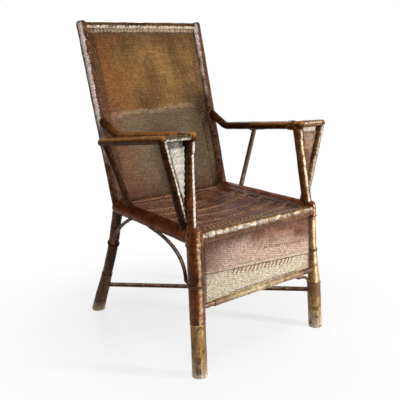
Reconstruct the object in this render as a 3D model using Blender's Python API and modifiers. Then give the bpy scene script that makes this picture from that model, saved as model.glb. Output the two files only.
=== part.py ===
"""Rattan armchair: a frame of rattan poles wrapped in split cane, with woven cane skins on it.

The left side is the sitter's left, +X. The front is -Y and the floor is Z 0. Sizes are in metres.
"""

import math

import bmesh
import bpy
from mathutils import Matrix, Vector

NAME = "rattan_armchair"

# Stance of the frame: distances between pole axes
SEAT_RAIL_HEIGHT = 0.410
SEAT_REAR_RISE = 0.0106
SEAT_WIDTH_FRONT = 0.5132
SEAT_WIDTH_REAR = 0.4766
SEAT_DEPTH = 0.4207
SIDE_RAIL_RISE = 0.003
FRONT_FOOT_SPREAD = 0.0072
FRONT_FOOT_REACH = 0.0328
REAR_FOOT_TUCK = 0.0048
REAR_FOOT_REACH = 0.165
REAR_LEG_BOW = 0.015
BOW_RISE = 1.3
BOW_END = 0.76
BACK_HEIGHT = 1.014
BACK_SPREAD = 0.0116
BACK_RAKE = 0.1707
BACK_TILT = 0.011
APRON_DEPTH = 0.2045

# Arms: the inner pole rises into the stile, the outer pole ends free at the rear
ARM_HEIGHT = 0.694
ARM_FRONT_SETBACK = 0.0396
ARM_INSET = 0.0260
ARM_WIDTH = 0.107
ARM_BEND_DROP = 0.0335
ARM_BEND_LEAD = 0.0100
ARM_STILE_RISE = 0.0465
ARM_TIP_DROP = 0.042
ARM_TIP_LEAD = 0.0541
ARM_TIP_INSET = 0.0096
INNER_POST_SETBACK = 0.015
OUTER_POST_SETBACK = 0.038
STRUT_LEAD_FOOT = 0.0895
STRUT_LEAD_TOP = 0.077

# Rattan poles: radii
FRONT_LEG_RADIUS = 0.0195
SLIM_LEG_RADIUS = 0.0108
SLIM_LEG_HEIGHT = 0.275
STOUT_LEG_RADIUS = 0.0216
STOUT_LEG_HEIGHT = 0.172
REAR_POST_RADIUS = 0.0150
REAR_FOOT_RADIUS = 0.0200
CROSS_RAIL_RADIUS = 0.0125
SIDE_RAIL_RADIUS = 0.0215
TOP_RAIL_RADIUS = 0.0100
APRON_RAIL_RADIUS = 0.0082
ARM_INNER_RADIUS = 0.0102
ARM_OUTER_RADIUS = 0.0070
ARM_BAR_RADIUS = 0.0060
INNER_POST_FOOT_RADIUS = 0.0150
INNER_POST_TOP_RADIUS = 0.0112
OUTER_POST_FOOT_RADIUS = 0.0142
OUTER_POST_TOP_RADIUS = 0.0116
STRUT_RADIUS = 0.0060
BRACE_RADIUS = 0.0055
STRETCHER_RADIUS = 0.0078
BRACKET_RADIUS = 0.0050
PEG_RADIUS = 0.0035
PEG_DEPTH = 0.014
PEG_BITE = 0.7

# Facets round the thick poles and round the thin ones
LEG_SIDES = 16
POLE_SIDES = 12
THIN_SIDES = 10
CANE_SIDES = 8

# Bends of the poles
KNEE_RADIUS = 0.05
ARM_BEND_RADIUS = 0.07
BEND_STEPS = 6

# Woven skins and wraps of split cane: thickness, and where each starts and stops
SKIN = 0.0020
FOOT_WRAP = 0.0033
COLLAR_WRAP = 0.0042
FOOT_WRAP_HEIGHT = 0.160
FOOT_WRAP_LIFT = 0.0015
LEG_CROWN = 0.027
KNOB = 0.012
SEAT_SAG = 0.016
BACK_HOLLOW = 0.006
BACK_WAVE = 0.0018
BACK_BORDER = 0.043
BACK_TOP_BORDER = 0.024
SEAT_FOLDS = (0.070, 0.128, 0.190, 0.255, 0.318)
FOLD_RISE = 0.0030
FOLD_FRONT = 0.010
FOLD_REAR = 0.024
FOLD_SWAY = 0.006
SEAT_BORDER = 0.048
BORDER_RISE = 0.0014
SEAM_LEFT = 0.266
SEAM_RIGHT = 0.300
SEAM_LAP = 0.0024
SEAM_STEP = 0.003
ARM_WEB_LIFT = 0.0042
APRON_GAP = 0.0014
APRON_ROLL_INSET = 0.062
ROLL_LAP = 0.003
PANEL_DROP = 0.008
ROLL_GAP = 0.012
ARM_SKIN_START = 0.02
TIP_SKIN_START = 0.04
WRAP_SEAM = 0.0012
PANEL_APEX = 0.066

# Braces, stretchers, bracket and cords
BRACE_DROP = 0.123
FRONT_BRACE_REACH = 0.196
REAR_BRACE_REACH = 0.102
BRACE_LEAN = 0.6
BRACE_TUCK = math.radians(40)
FRONT_BRACE_KNEE = 0.22
REAR_BRACE_KNEE = 0.56
STRETCHER_FRONT_HEIGHT = 0.132
STRETCHER_REAR_HEIGHT = 0.1106
BRACKET_DROP = 0.044
BRACKET_REACH = 0.050
CORD_RADIUS = 0.0014
CORD_PITCH = 0.0036
CORD_TURNS = 2
CORD_DROP = 0.009

# Clearance between pieces that touch
CLEARANCE = 0.0003

# Colours of the pieces
RATTAN = (0.23, 0.11, 0.045)
BARE_CANE = (0.16, 0.085, 0.045)
BROWN_CANE = (0.25, 0.115, 0.055)
PALE_CANE = (0.50, 0.38, 0.28)
BACK_CANE = (0.40, 0.27, 0.14)
WORN_CANE = (0.40, 0.27, 0.15)
CORD = (0.45, 0.33, 0.22)

for old in list(bpy.data.objects):
    bpy.data.objects.remove(old, do_unlink=True)

PARTS = bpy.data.collections.new(NAME)
CUTTERS = bpy.data.collections.new(NAME + "_cutters")
bpy.context.scene.collection.children.link(PARTS)
bpy.context.scene.collection.children.link(CUTTERS)

PATHS = {}
RADII = {}
SIDES = {}


def at_height(low, high, height):
    """Point of a straight pole at one height."""
    return low.lerp(high, (height - low.z) / (high.z - low.z))


def longer(path, before, after):
    """The same path with its straight ends lengthened, or shortened by a negative length."""
    first = path[0] + (path[0] - path[1]).normalized() * before
    last = path[-1] + (path[-1] - path[-2]).normalized() * after
    return [first] + path[1:-1] + [last]


def rounded(start, corner, end, radius):
    """Path from start to end with an arc in place of its corner."""
    before = (start - corner).normalized()
    after = (end - corner).normalized()
    half = before.angle(after) / 2
    centre = corner + (before + after).normalized() * (radius / math.sin(half))
    reach = radius / math.tan(half)
    first = corner + before * reach - centre
    last = corner + after * reach - centre
    axis = first.cross(last).normalized()
    turn = first.angle(last) / BEND_STEPS
    arc = [centre + Matrix.Rotation(turn * k, 3, axis) @ first for k in range(BEND_STEPS + 1)]
    return [start] + arc + [end]


def point_at(path, axis, value):
    """Point of a path where a coordinate that only grows or only falls along it has one value."""
    for a, b in zip(path, path[1:]):
        if min(a[axis], b[axis]) <= value <= max(a[axis], b[axis]):
            break
    return a.lerp(b, (value - a[axis]) / (b[axis] - a[axis]))


def portion(path, axis, low, high):
    """Part of a path between two values of a coordinate that only grows or only falls along it."""
    ends = [point_at(path, axis, low), point_at(path, axis, high)]
    inside = [p for p in path if low + 0.002 < p[axis] < high - 0.002]
    if path[0][axis] > path[-1][axis]:
        ends.reverse()
    return [ends[0]] + inside + [ends[1]]


def tube(name, path, radii, sides, where, capped=True):
    """Round pole along a path, as a mesh."""
    if not isinstance(radii, list):
        radii = [radii] * len(path)
    data = bpy.data.curves.new(name, "CURVE")
    data.dimensions = "3D"
    data.bevel_depth = max(radii)
    data.bevel_resolution = sides // 2 - 2
    data.use_fill_caps = capped
    spline = data.splines.new("POLY")
    spline.points.add(len(path) - 1)
    for point, place, radius in zip(spline.points, path, radii):
        point.co = (place.x, place.y, place.z, 1.0)
        point.radius = radius / data.bevel_depth
    holder = bpy.data.objects.new(name, data)
    bpy.context.scene.collection.objects.link(holder)
    graph = bpy.context.evaluated_depsgraph_get()
    mesh = bpy.data.meshes.new_from_object(holder.evaluated_get(graph))
    bpy.data.objects.remove(holder)
    bpy.data.curves.remove(data)
    return solid(name, mesh, where)


def solid(name, mesh, where):
    """Object for a mesh, with its seams welded, its faces flat and turned outward."""
    work = bmesh.new()
    work.from_mesh(mesh)
    bmesh.ops.remove_doubles(work, verts=work.verts, dist=0.00001)
    bmesh.ops.triangulate(work, faces=work.faces)
    bmesh.ops.recalc_face_normals(work, faces=work.faces)
    work.to_mesh(mesh)
    work.free()
    mesh.materials.clear()
    mesh.polygons.foreach_set("use_smooth", [True] * len(mesh.polygons))
    mesh.set_sharp_from_angle(angle=math.radians(40))
    piece = bpy.data.objects.new(name, mesh)
    where.objects.link(piece)
    if where is CUTTERS:
        piece.hide_render = True
        piece.display_type = "WIRE"
    return piece


def paint(piece, colour, roughness):
    """Give a piece its own material."""
    material = bpy.data.materials.new(piece.name)
    material.use_nodes = True
    shader = material.node_tree.nodes["Principled BSDF"]
    shader.inputs["Base Color"].default_value = (*colour, 1.0)
    shader.inputs["Roughness"].default_value = roughness
    shader.inputs["Metallic"].default_value = 0.0
    piece.data.materials.append(material)
    return piece


def note(name, path, radii, sides=POLE_SIDES):
    """Keep the path and the radii of a pole or of a roll of skin for the pieces that meet it."""
    PATHS[name] = path
    RADII[name] = radii if isinstance(radii, list) else [radii] * len(path)
    SIDES[name] = sides


def pole(name, path, radii, colour=RATTAN, sides=POLE_SIDES):
    """Rattan pole."""
    note(name, path, radii, sides)
    return paint(tube(name, path, radii, sides, PARTS), colour, 0.45)


def body(name):
    """Space that a noted pole or roll fills."""
    if name + "_body" in CUTTERS.objects:
        return CUTTERS.objects[name + "_body"]
    return tube(name + "_body", PATHS[name], RADII[name], SIDES[name], CUTTERS)


def room(name):
    """Space that a noted pole or roll fills, with the clearance round it."""
    if name + "_room" in CUTTERS.objects:
        return CUTTERS.objects[name + "_room"]
    radii = [radius + CLEARANCE for radius in RADII[name]]
    return tube(name + "_room", longer(PATHS[name], CLEARANCE, CLEARANCE), radii, SIDES[name], CUTTERS)


def join(piece, names):
    """Weave rolls of skin onto a piece."""
    for name in names:
        boolean = piece.modifiers.new("with_" + name, "BOOLEAN")
        boolean.operation = "UNION"
        boolean.solver = "EXACT"
        boolean.object = body(name)


def cut(piece, names):
    """Cut a piece back from the noted poles and rolls that it meets."""
    for name in names:
        boolean = piece.modifiers.new("clear_of_" + name, "BOOLEAN")
        boolean.operation = "DIFFERENCE"
        boolean.solver = "EXACT"
        boolean.object = room(name)


def level_foot(piece):
    """Saw a leg off level with the floor."""
    work = bmesh.new()
    work.from_mesh(piece.data)
    everything = work.verts[:] + work.edges[:] + work.faces[:]
    bmesh.ops.bisect_plane(
        work,
        geom=everything,
        plane_co=(0, 0, 0),
        plane_no=(0, 0, -1),
        clear_outer=True,
    )
    rim = [edge for edge in work.edges if edge.is_boundary]
    bmesh.ops.contextual_create(work, geom=rim)
    bmesh.ops.recalc_face_normals(work, faces=work.faces)
    work.to_mesh(piece.data)
    work.free()


def wrap(name, path, inner, wall, colour, sides=POLE_SIDES):
    """Split cane wound closely round a pole."""
    piece = tube(name, path, inner, sides, PARTS, capped=False)
    shell = piece.modifiers.new("cane", "SOLIDIFY")
    shell.thickness = wall
    shell.offset = 1.0
    piece.modifiers.new("flat_faces", "TRIANGULATE")
    return paint(piece, colour, 0.5)


def sheet(name, rows, thickness, where):
    """Woven sheet through rows of points, with its thickness about the rows."""
    mesh = bpy.data.meshes.new(name)
    count = len(rows[0])
    points = [point for row in rows for point in row]
    faces = []
    for r in range(len(rows) - 1):
        for c in range(count - 1):
            corner = r * count + c
            faces.append((corner, corner + 1, corner + 1 + count, corner + count))
    mesh.from_pydata([tuple(point) for point in points], [], faces)
    piece = solid(name, mesh, where)
    shell = piece.modifiers.new("cane", "SOLIDIFY")
    shell.thickness = thickness
    shell.offset = 0.0
    piece.modifiers.new("flat_faces", "TRIANGULATE")
    return piece


def woven(name, rows, colour):
    """Woven cover: two layers of skin through rows of points."""
    return paint(sheet(name, rows, 2 * SKIN, PARTS), colour, 0.5)


def profile_radius(profile, height):
    """Radius of a leg at a height, from its pairs of height and radius."""
    for (low, first), (high, last) in zip(profile, profile[1:]):
        if height <= high:
            break
    share = min(1.0, max(0.0, (height - low) / (high - low)))
    return first + (last - first) * share


def skin_radius(radius):
    """Outside of the skin on a pole."""
    return radius + CLEARANCE + SKIN


# Places of the joints on the left side, from the sizes above
FOOT_WRAP_RADIUS = FRONT_LEG_RADIUS + CLEARANCE + FOOT_WRAP
REAR_WRAP_RADIUS = REAR_FOOT_RADIUS + CLEARANCE + FOOT_WRAP
REAR_RAIL_HEIGHT = SEAT_RAIL_HEIGHT + SEAT_REAR_RISE
REAR_FOOT_SLOPE = REAR_FOOT_REACH / REAR_RAIL_HEIGHT
FRONT_REACH = FRONT_FOOT_REACH + FOOT_WRAP_RADIUS
REAR_REACH = SEAT_DEPTH + REAR_FOOT_REACH + REAR_WRAP_RADIUS * math.hypot(1, REAR_FOOT_SLOPE)
FRONT_Y = (FRONT_REACH - REAR_REACH) / 2
REAR_Y = FRONT_Y + SEAT_DEPTH
FRONT_JOINT = Vector((SEAT_WIDTH_FRONT / 2, FRONT_Y, SEAT_RAIL_HEIGHT))
FRONT_FOOT = Vector((FRONT_JOINT.x + FRONT_FOOT_SPREAD, FRONT_Y - FRONT_FOOT_REACH, 0))
REAR_JOINT = Vector((SEAT_WIDTH_REAR / 2, REAR_Y, REAR_RAIL_HEIGHT))
REAR_FOOT = Vector((REAR_JOINT.x - REAR_FOOT_TUCK, REAR_Y + REAR_FOOT_REACH, 0))
BACK_TOP = Vector((REAR_JOINT.x + BACK_SPREAD, REAR_Y + BACK_RAKE, BACK_HEIGHT))
TALL_BACK_TOP = at_height(REAR_JOINT, BACK_TOP, BACK_HEIGHT + BACK_TILT)
FRONT_SIDE_JOINT = FRONT_JOINT + Vector((0, 0, SIDE_RAIL_RISE))
REAR_SIDE_JOINT = REAR_JOINT + Vector((0, 0, SIDE_RAIL_RISE))
APRON_HEIGHT = SEAT_RAIL_HEIGHT - APRON_DEPTH
ARM_INNER = Vector((FRONT_JOINT.x - ARM_INSET, FRONT_Y + ARM_FRONT_SETBACK, ARM_HEIGHT))
ARM_OUTER = ARM_INNER + Vector((ARM_WIDTH, 0, 0))
ARM_TIP = Vector((ARM_OUTER.x - ARM_TIP_INSET, REAR_Y - ARM_TIP_LEAD, ARM_HEIGHT - ARM_TIP_DROP))
ARM_BEND = Vector((REAR_JOINT.x, REAR_Y - ARM_BEND_LEAD, ARM_HEIGHT - ARM_BEND_DROP))
ARM_STILE = at_height(REAR_JOINT, BACK_TOP, ARM_BEND.z + ARM_STILE_RISE)
ARM_BAR_SKIN = skin_radius(ARM_BAR_RADIUS)
CROSS_SKIN = skin_radius(CROSS_RAIL_RADIUS)
SIDE_SKIN = skin_radius(SIDE_RAIL_RADIUS)
UNDER_FLOOR = 0.03
LEG_TOP = SEAT_RAIL_HEIGHT + LEG_CROWN
SEAT_ROLL_LOW = REAR_RAIL_HEIGHT - SIDE_SKIN
WRAP_LOW = SEAT_RAIL_HEIGHT - SIDE_SKIN
REAR_WRAP_TOP = SEAT_ROLL_LOW - ROLL_GAP

# Radii of the legs at their heights; above its foot the left front leg is slim and the right one stout
LEG_PROFILE = {
    "left": [(FOOT_WRAP_HEIGHT, FRONT_LEG_RADIUS), (SLIM_LEG_HEIGHT, SLIM_LEG_RADIUS)],
    "right": [(FOOT_WRAP_HEIGHT, FRONT_LEG_RADIUS), (STOUT_LEG_HEIGHT, STOUT_LEG_RADIUS)],
}
REAR_PROFILE = [(0.0, REAR_FOOT_RADIUS), (FOOT_WRAP_HEIGHT, REAR_POST_RADIUS)]


def on_side(point, side):
    """The same point on the left side (1) or on the right side (-1)."""
    return Vector((point.x * side, point.y, point.z))


def back_top(side):
    """Top of a stile; the left one is the taller."""
    return TALL_BACK_TOP if side > 0 else on_side(BACK_TOP, side)


def side_rail_ends(side):
    """Ends of the axis of a side rail, front end first."""
    return [on_side(FRONT_SIDE_JOINT, side), on_side(REAR_SIDE_JOINT, side)]


def trimmed(start, end, start_radius, end_radius):
    """Rail from pole axis to pole axis that stops inside both poles, to be cut to fit them."""
    return longer([start, end], -start_radius / 2, -end_radius / 2)


def across(point):
    """A point and its mirror image, right side first."""
    return [on_side(point, -1), point]


def radii_along(path, profile, extra):
    """Radius of a leg at each point of a path, with something added all along."""
    return [profile_radius(profile, point.z) + extra for point in path]


# Floor, with the lift of the wraps above it
mesh = bpy.data.meshes.new("floor_room")
work = bmesh.new()
ground = Matrix.Diagonal((2, 2, 2 * UNDER_FLOOR, 1))
ground.translation.z = FOOT_WRAP_LIFT - UNDER_FLOOR
bmesh.ops.create_cube(work, size=1.0, matrix=ground)
work.to_mesh(mesh)
work.free()
solid("floor_room", mesh, CUTTERS)

# Legs and posts
PIECES = {}
for side, tag in ((1, "left"), (-1, "right")):
    name = "front_leg_" + tag
    joint = on_side(FRONT_JOINT, side)
    foot = on_side(FRONT_FOOT, side)
    heights = [-UNDER_FLOOR] + [height for height, radius in LEG_PROFILE[tag]] + [LEG_TOP]
    path = [at_height(foot, joint, height) for height in heights]
    PIECES[name] = pole(name, path, radii_along(path, LEG_PROFILE[tag], 0), RATTAN, LEG_SIDES)
    level_foot(PIECES[name])

    name = "rear_post_" + tag
    joint = on_side(REAR_JOINT, side)
    foot = on_side(REAR_FOOT, side)
    leg = [at_height(foot, joint, -UNDER_FLOOR)]
    wrap_end = FOOT_WRAP_HEIGHT / REAR_RAIL_HEIGHT
    for share in (0.0, wrap_end / 2, wrap_end, (wrap_end + BOW_END) / 2, BOW_END):
        bow = Vector((0, REAR_LEG_BOW * math.sin(math.pi * share**BOW_RISE), 0))
        leg.append(foot.lerp(joint, share) - bow)
    path = leg[:-1] + rounded(leg[-1], joint, back_top(side), KNEE_RADIUS)
    path = longer(path, 0, KNOB)
    PIECES[name] = pole(name, path, radii_along(path, REAR_PROFILE, 0))
    level_foot(PIECES[name])

# Rails of the seat, the back and the apron
front_ends = across(FRONT_JOINT)
rear_ends = across(REAR_JOINT)
top_ends = [back_top(-1), back_top(1)]
apron_ends = across(at_height(FRONT_FOOT, FRONT_JOINT, APRON_HEIGHT))
rails = [
    ("front_seat_rail", front_ends, CROSS_RAIL_RADIUS, SLIM_LEG_RADIUS, "front_leg"),
    ("rear_seat_rail", rear_ends, CROSS_RAIL_RADIUS, REAR_POST_RADIUS, "rear_post"),
    ("back_top_rail", top_ends, TOP_RAIL_RADIUS, REAR_POST_RADIUS, "rear_post"),
    ("apron_rail", apron_ends, APRON_RAIL_RADIUS, SLIM_LEG_RADIUS, "front_leg"),
]
for name, ends, radius, leg_radius, leg in rails:
    path = trimmed(ends[0], ends[1], leg_radius, leg_radius)
    PIECES[name] = pole(name, path, radius)
    cut(PIECES[name], [leg + "_left", leg + "_right"])
for side, tag in ((1, "left"), (-1, "right")):
    name = "side_seat_rail_" + tag
    ends = side_rail_ends(side)
    path = trimmed(ends[0], ends[1], SLIM_LEG_RADIUS, REAR_POST_RADIUS)
    PIECES[name] = pole(name, path, SIDE_RAIL_RADIUS)
    cut(PIECES[name], ["front_leg_" + tag, "rear_post_" + tag, "front_seat_rail", "rear_seat_rail"])

# Pegs in the ends of the cross rails, which hold the two sides of the frame together
for side, tag in ((1, "left"), (-1, "right")):
    joints = [
        ("front", on_side(FRONT_JOINT, side), LEG_PROFILE[tag][-1][1], "front_leg_", "front_seat_rail"),
        ("rear", on_side(REAR_JOINT, side), REAR_POST_RADIUS, "rear_post_", "rear_seat_rail"),
        ("top", back_top(side), REAR_POST_RADIUS, "rear_post_", "back_top_rail"),
    ]
    for place, axis_point, radius, leg, rail in joints:
        name = "peg_" + place + "_" + tag
        inward = Vector((-side, 0, 0))
        surface = axis_point + inward * radius
        path = [surface - inward * (radius * PEG_BITE), surface + inward * PEG_DEPTH]
        pole(name, path, PEG_RADIUS, BARE_CANE, CANE_SIDES)
        cut(PIECES[leg + tag], [name])
        cut(PIECES[rail], [name])

# Arms: poles, bar across the front, posts and struts
for side, tag in ((1, "left"), (-1, "right")):
    inner = "arm_inner_pole_" + tag
    outer = "arm_outer_pole_" + tag
    bar = "arm_front_bar_" + tag
    leg = "front_leg_" + tag
    rail = "side_seat_rail_" + tag
    front = on_side(ARM_INNER, side)
    corner = on_side(ARM_OUTER, side)
    path = rounded(on_side(ARM_STILE, side), on_side(ARM_BEND, side), front, ARM_BEND_RADIUS)
    path_inner = longer(path, -REAR_POST_RADIUS / 2, ARM_BAR_SKIN)
    cut(pole(inner, path_inner, ARM_INNER_RADIUS), ["rear_post_" + tag])
    path = longer([on_side(ARM_TIP, side), corner], 0, ARM_BAR_SKIN)
    pole(outer, path, ARM_OUTER_RADIUS)

    rail_ends = side_rail_ends(side)
    base = rail_ends[0].lerp(rail_ends[1], INNER_POST_SETBACK / SEAT_DEPTH)
    under = point_at(path_inner, 1, front.y + INNER_POST_SETBACK)
    path = trimmed(base, under, SIDE_RAIL_RADIUS, ARM_INNER_RADIUS)
    radii = [INNER_POST_FOOT_RADIUS, INNER_POST_TOP_RADIUS]
    cut(pole("arm_inner_post_" + tag, path, radii), [leg, rail, inner])

    base = rail_ends[0].lerp(rail_ends[1], OUTER_POST_SETBACK / SEAT_DEPTH)
    path = trimmed(base, corner, SIDE_RAIL_RADIUS, ARM_OUTER_RADIUS)
    radii = [OUTER_POST_FOOT_RADIUS, OUTER_POST_TOP_RADIUS]
    piece = pole("arm_outer_post_" + tag, path, radii, RATTAN, THIN_SIDES)
    cut(piece, [rail, outer, "arm_inner_post_" + tag])

    path = trimmed(front, corner, ARM_INNER_RADIUS, ARM_OUTER_RADIUS)
    posts = ["arm_inner_post_" + tag, "arm_outer_post_" + tag]
    cut(pole(bar, path, ARM_BAR_RADIUS, RATTAN, THIN_SIDES), [inner, outer] + posts)

    base = rail_ends[1].lerp(rail_ends[0], STRUT_LEAD_FOOT / SEAT_DEPTH)
    tip = on_side(ARM_TIP, side)
    under = tip.lerp(corner, (STRUT_LEAD_TOP - ARM_TIP_LEAD) / (tip.y - corner.y))
    path = trimmed(base, under, SIDE_RAIL_RADIUS, ARM_OUTER_RADIUS)
    cut(pole("arm_strut_" + tag, path, STRUT_RADIUS, RATTAN, THIN_SIDES), [rail, outer])

# Rolls that the woven covers close round the poles
note("front_roll", longer(front_ends, ROLL_LAP, ROLL_LAP), CROSS_SKIN)
note("rear_roll", longer(rear_ends, ROLL_LAP, ROLL_LAP), CROSS_SKIN)
note("top_roll", top_ends, skin_radius(TOP_RAIL_RADIUS))
apron_inside = longer(apron_ends, -APRON_ROLL_INSET, -APRON_ROLL_INSET)
note("apron_roll", apron_inside, skin_radius(APRON_RAIL_RADIUS))
for side, tag in ((1, "left"), (-1, "right")):
    note("side_roll_" + tag, longer(side_rail_ends(side), ROLL_LAP, ROLL_LAP), SIDE_SKIN)
    post = PATHS["rear_post_" + tag]
    stile_low = REAR_RAIL_HEIGHT + SIDE_SKIN + ROLL_GAP
    path = portion(post, 2, stile_low, back_top(side).z)
    path = longer(path, 0, KNOB + CLEARANCE + SKIN)
    note("stile_roll_" + tag, path, skin_radius(REAR_POST_RADIUS))
    inner = PATHS["arm_inner_pole_" + tag]
    path = portion(inner, 1, inner[-1].y, ARM_BEND.y - ARM_BEND_RADIUS / 3)
    note("inner_roll_" + tag, longer(path, 0, CLEARANCE + SKIN), skin_radius(ARM_INNER_RADIUS))
    path = longer(PATHS["arm_outer_pole_" + tag], CLEARANCE + SKIN, CLEARANCE + SKIN)
    note("outer_roll_" + tag, path, skin_radius(ARM_OUTER_RADIUS))
    path = [on_side(ARM_INNER, side), on_side(ARM_OUTER, side)]
    note("bar_roll_" + tag, path, ARM_BAR_SKIN, THIN_SIDES)
    leg = longer(PATHS["front_leg_" + tag], 0, SKIN)
    path = [point_at(leg, 2, WRAP_LOW), leg[-1]]
    radii = radii_along(path, LEG_PROFILE[tag], CLEARANCE + COLLAR_WRAP)
    note("collar_space_" + tag, path, radii, LEG_SIDES)
    path = portion(leg, 2, FOOT_WRAP_HEIGHT, WRAP_LOW)
    radii = radii_along(path, LEG_PROFILE[tag], CLEARANCE + SKIN)
    note("leg_wrap_space_" + tag, path, radii, LEG_SIDES)
    path = portion(leg, 2, -UNDER_FLOOR / 2, FOOT_WRAP_HEIGHT)
    radii = radii_along(path, LEG_PROFILE[tag], CLEARANCE + FOOT_WRAP)
    note("foot_wrap_space_" + tag, path, radii, LEG_SIDES)
    path = portion(post, 2, FOOT_WRAP_HEIGHT, REAR_WRAP_TOP)
    note("rear_wrap_space_" + tag, path, skin_radius(REAR_POST_RADIUS))

# Stretchers: two poles crossed between the legs, one over the other
drop = Vector((0, 0, 2 * STRETCHER_RADIUS + CLEARANCE))
high_front = at_height(FRONT_FOOT, FRONT_JOINT, STRETCHER_FRONT_HEIGHT)
high_rear = point_at(PATHS["rear_post_right"], 2, STRETCHER_REAR_HEIGHT)
low_front = on_side(at_height(FRONT_FOOT, FRONT_JOINT, STRETCHER_FRONT_HEIGHT - drop.z), -1)
low_rear = point_at(PATHS["rear_post_left"], 2, STRETCHER_REAR_HEIGHT - drop.z)
path = trimmed(high_front, high_rear, FRONT_LEG_RADIUS, REAR_POST_RADIUS)
cut(pole("stretcher_upper", path, STRETCHER_RADIUS, BARE_CANE), ["front_leg_left", "rear_post_right"])
path = trimmed(low_front, low_rear, FRONT_LEG_RADIUS, REAR_POST_RADIUS)
cut(pole("stretcher_lower", path, STRETCHER_RADIUS, BARE_CANE), ["front_leg_right", "rear_post_left"])
STRETCHER_AT = {
    "front_foot_wrap_left": "stretcher_upper",
    "front_foot_wrap_right": "stretcher_lower",
    "rear_foot_wrap_left": "stretcher_lower",
    "rear_foot_wrap_right": "stretcher_upper",
}


def arch(start, corner, end):
    """Bent cane from start to end that leaves towards the corner and arrives from it."""
    steps = 8
    points = []
    for k in range(steps + 1):
        t = k / steps
        points.append(start.lerp(corner, t).lerp(corner.lerp(end, t), t))
    return points


# Braces: bent canes from the outside of each side rail to the legs
for side, tag in ((1, "left"), (-1, "right")):
    outward = Vector((side, 0, 0))
    rail_ends = side_rail_ends(side)
    beside = Vector((side * math.cos(BRACE_TUCK), 0, -math.sin(BRACE_TUCK)))
    beside *= SIDE_SKIN + CLEARANCE + BRACE_RADIUS
    leg = PATHS["front_leg_" + tag]
    end_height = SEAT_RAIL_HEIGHT - BRACE_DROP
    off = skin_radius(profile_radius(LEG_PROFILE[tag], end_height)) + 2 * CLEARANCE + BRACE_RADIUS
    shift = outward * (off * BRACE_LEAN) + Vector((0, off * math.sqrt(1 - BRACE_LEAN * BRACE_LEAN), 0))
    start = rail_ends[0].lerp(rail_ends[1], FRONT_BRACE_REACH / SEAT_DEPTH) + beside
    end = point_at(leg, 2, end_height) + shift
    corner = point_at(leg, 2, SEAT_RAIL_HEIGHT - BRACE_DROP * FRONT_BRACE_KNEE) + shift
    piece = pole("front_brace_" + tag, arch(start, corner, end), BRACE_RADIUS, BARE_CANE, CANE_SIDES)
    cut(piece, ["leg_wrap_space_" + tag, "side_roll_" + tag])

    post = PATHS["rear_post_" + tag]
    off = skin_radius(REAR_POST_RADIUS) + 2 * CLEARANCE + BRACE_RADIUS
    shift = outward * (off * BRACE_LEAN) - Vector((0, off * math.sqrt(1 - BRACE_LEAN * BRACE_LEAN), 0))
    start = rail_ends[1].lerp(rail_ends[0], REAR_BRACE_REACH / SEAT_DEPTH) + beside
    end = point_at(post, 2, REAR_RAIL_HEIGHT - BRACE_DROP) + shift
    corner = point_at(post, 2, REAR_RAIL_HEIGHT - BRACE_DROP * REAR_BRACE_KNEE) + shift
    piece = pole("rear_brace_" + tag, arch(start, corner, end), BRACE_RADIUS, BARE_CANE, CANE_SIDES)
    cut(piece, ["rear_wrap_space_" + tag, "side_roll_" + tag])

# Bracket under the left end of the apron rail
foot = FRONT_FOOT
joint = FRONT_JOINT
bracket_foot = APRON_HEIGHT - BRACKET_DROP
inward = -(skin_radius(profile_radius(LEG_PROFILE["left"], bracket_foot)) + CLEARANCE + BRACKET_RADIUS)
end = at_height(foot, joint, bracket_foot) + Vector((inward, 0, 0))
corner = at_height(foot, joint, APRON_HEIGHT) + Vector((inward, 0, 0))
corner.z -= skin_radius(APRON_RAIL_RADIUS) + CLEARANCE + BRACKET_RADIUS
start = corner - Vector((BRACKET_REACH, 0, 0))
piece = pole("apron_bracket", arch(start, corner, end), BRACKET_RADIUS, BARE_CANE, CANE_SIDES)
cut(piece, ["leg_wrap_space_left", "foot_wrap_space_left", "apron_roll"])

# Wraps on the legs, the feet and the struts, and collars at the front corners of the seat
for side, tag in ((1, "left"), (-1, "right")):
    leg = PATHS["front_leg_" + tag]
    profile = LEG_PROFILE[tag]
    path = portion(leg, 2, -FOOT_WRAP_LIFT, FOOT_WRAP_HEIGHT)
    inside = radii_along(path, profile, CLEARANCE)
    piece = wrap("front_foot_wrap_" + tag, path, inside, FOOT_WRAP, WORN_CANE, LEG_SIDES)
    cut(piece, ["floor", STRETCHER_AT["front_foot_wrap_" + tag], "apron_rail"])
    path = longer(PATHS["leg_wrap_space_" + tag], -WRAP_SEAM, -CLEARANCE)
    inside = radii_along(path, profile, CLEARANCE)
    piece = wrap("front_leg_wrap_" + tag, path, inside, SKIN, BROWN_CANE, LEG_SIDES)
    cut(piece, ["apron_rail"])
    path = PATHS["collar_space_" + tag]
    inside = radii_along(path, profile, CLEARANCE)
    piece = wrap("leg_collar_" + tag, path, inside, COLLAR_WRAP, BROWN_CANE, LEG_SIDES)
    cut(piece, ["front_seat_rail", "side_seat_rail_" + tag, "arm_inner_post_" + tag])

    post = PATHS["rear_post_" + tag]
    path = portion(post, 2, -UNDER_FLOOR / 2, FOOT_WRAP_HEIGHT)
    inside = radii_along(path, REAR_PROFILE, CLEARANCE)
    piece = wrap("rear_foot_wrap_" + tag, path, inside, FOOT_WRAP, WORN_CANE)
    cut(piece, ["floor", STRETCHER_AT["rear_foot_wrap_" + tag]])
    path = longer(PATHS["rear_wrap_space_" + tag], -WRAP_SEAM, 0)
    wrap("rear_leg_wrap_" + tag, path, REAR_POST_RADIUS + CLEARANCE, SKIN, BROWN_CANE)

    path = PATHS["arm_strut_" + tag]
    piece = wrap("strut_wrap_" + tag, path, STRUT_RADIUS + CLEARANCE, SKIN, BROWN_CANE, THIN_SIDES)
    cut(piece, ["side_roll_" + tag, "outer_roll_" + tag])

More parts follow.
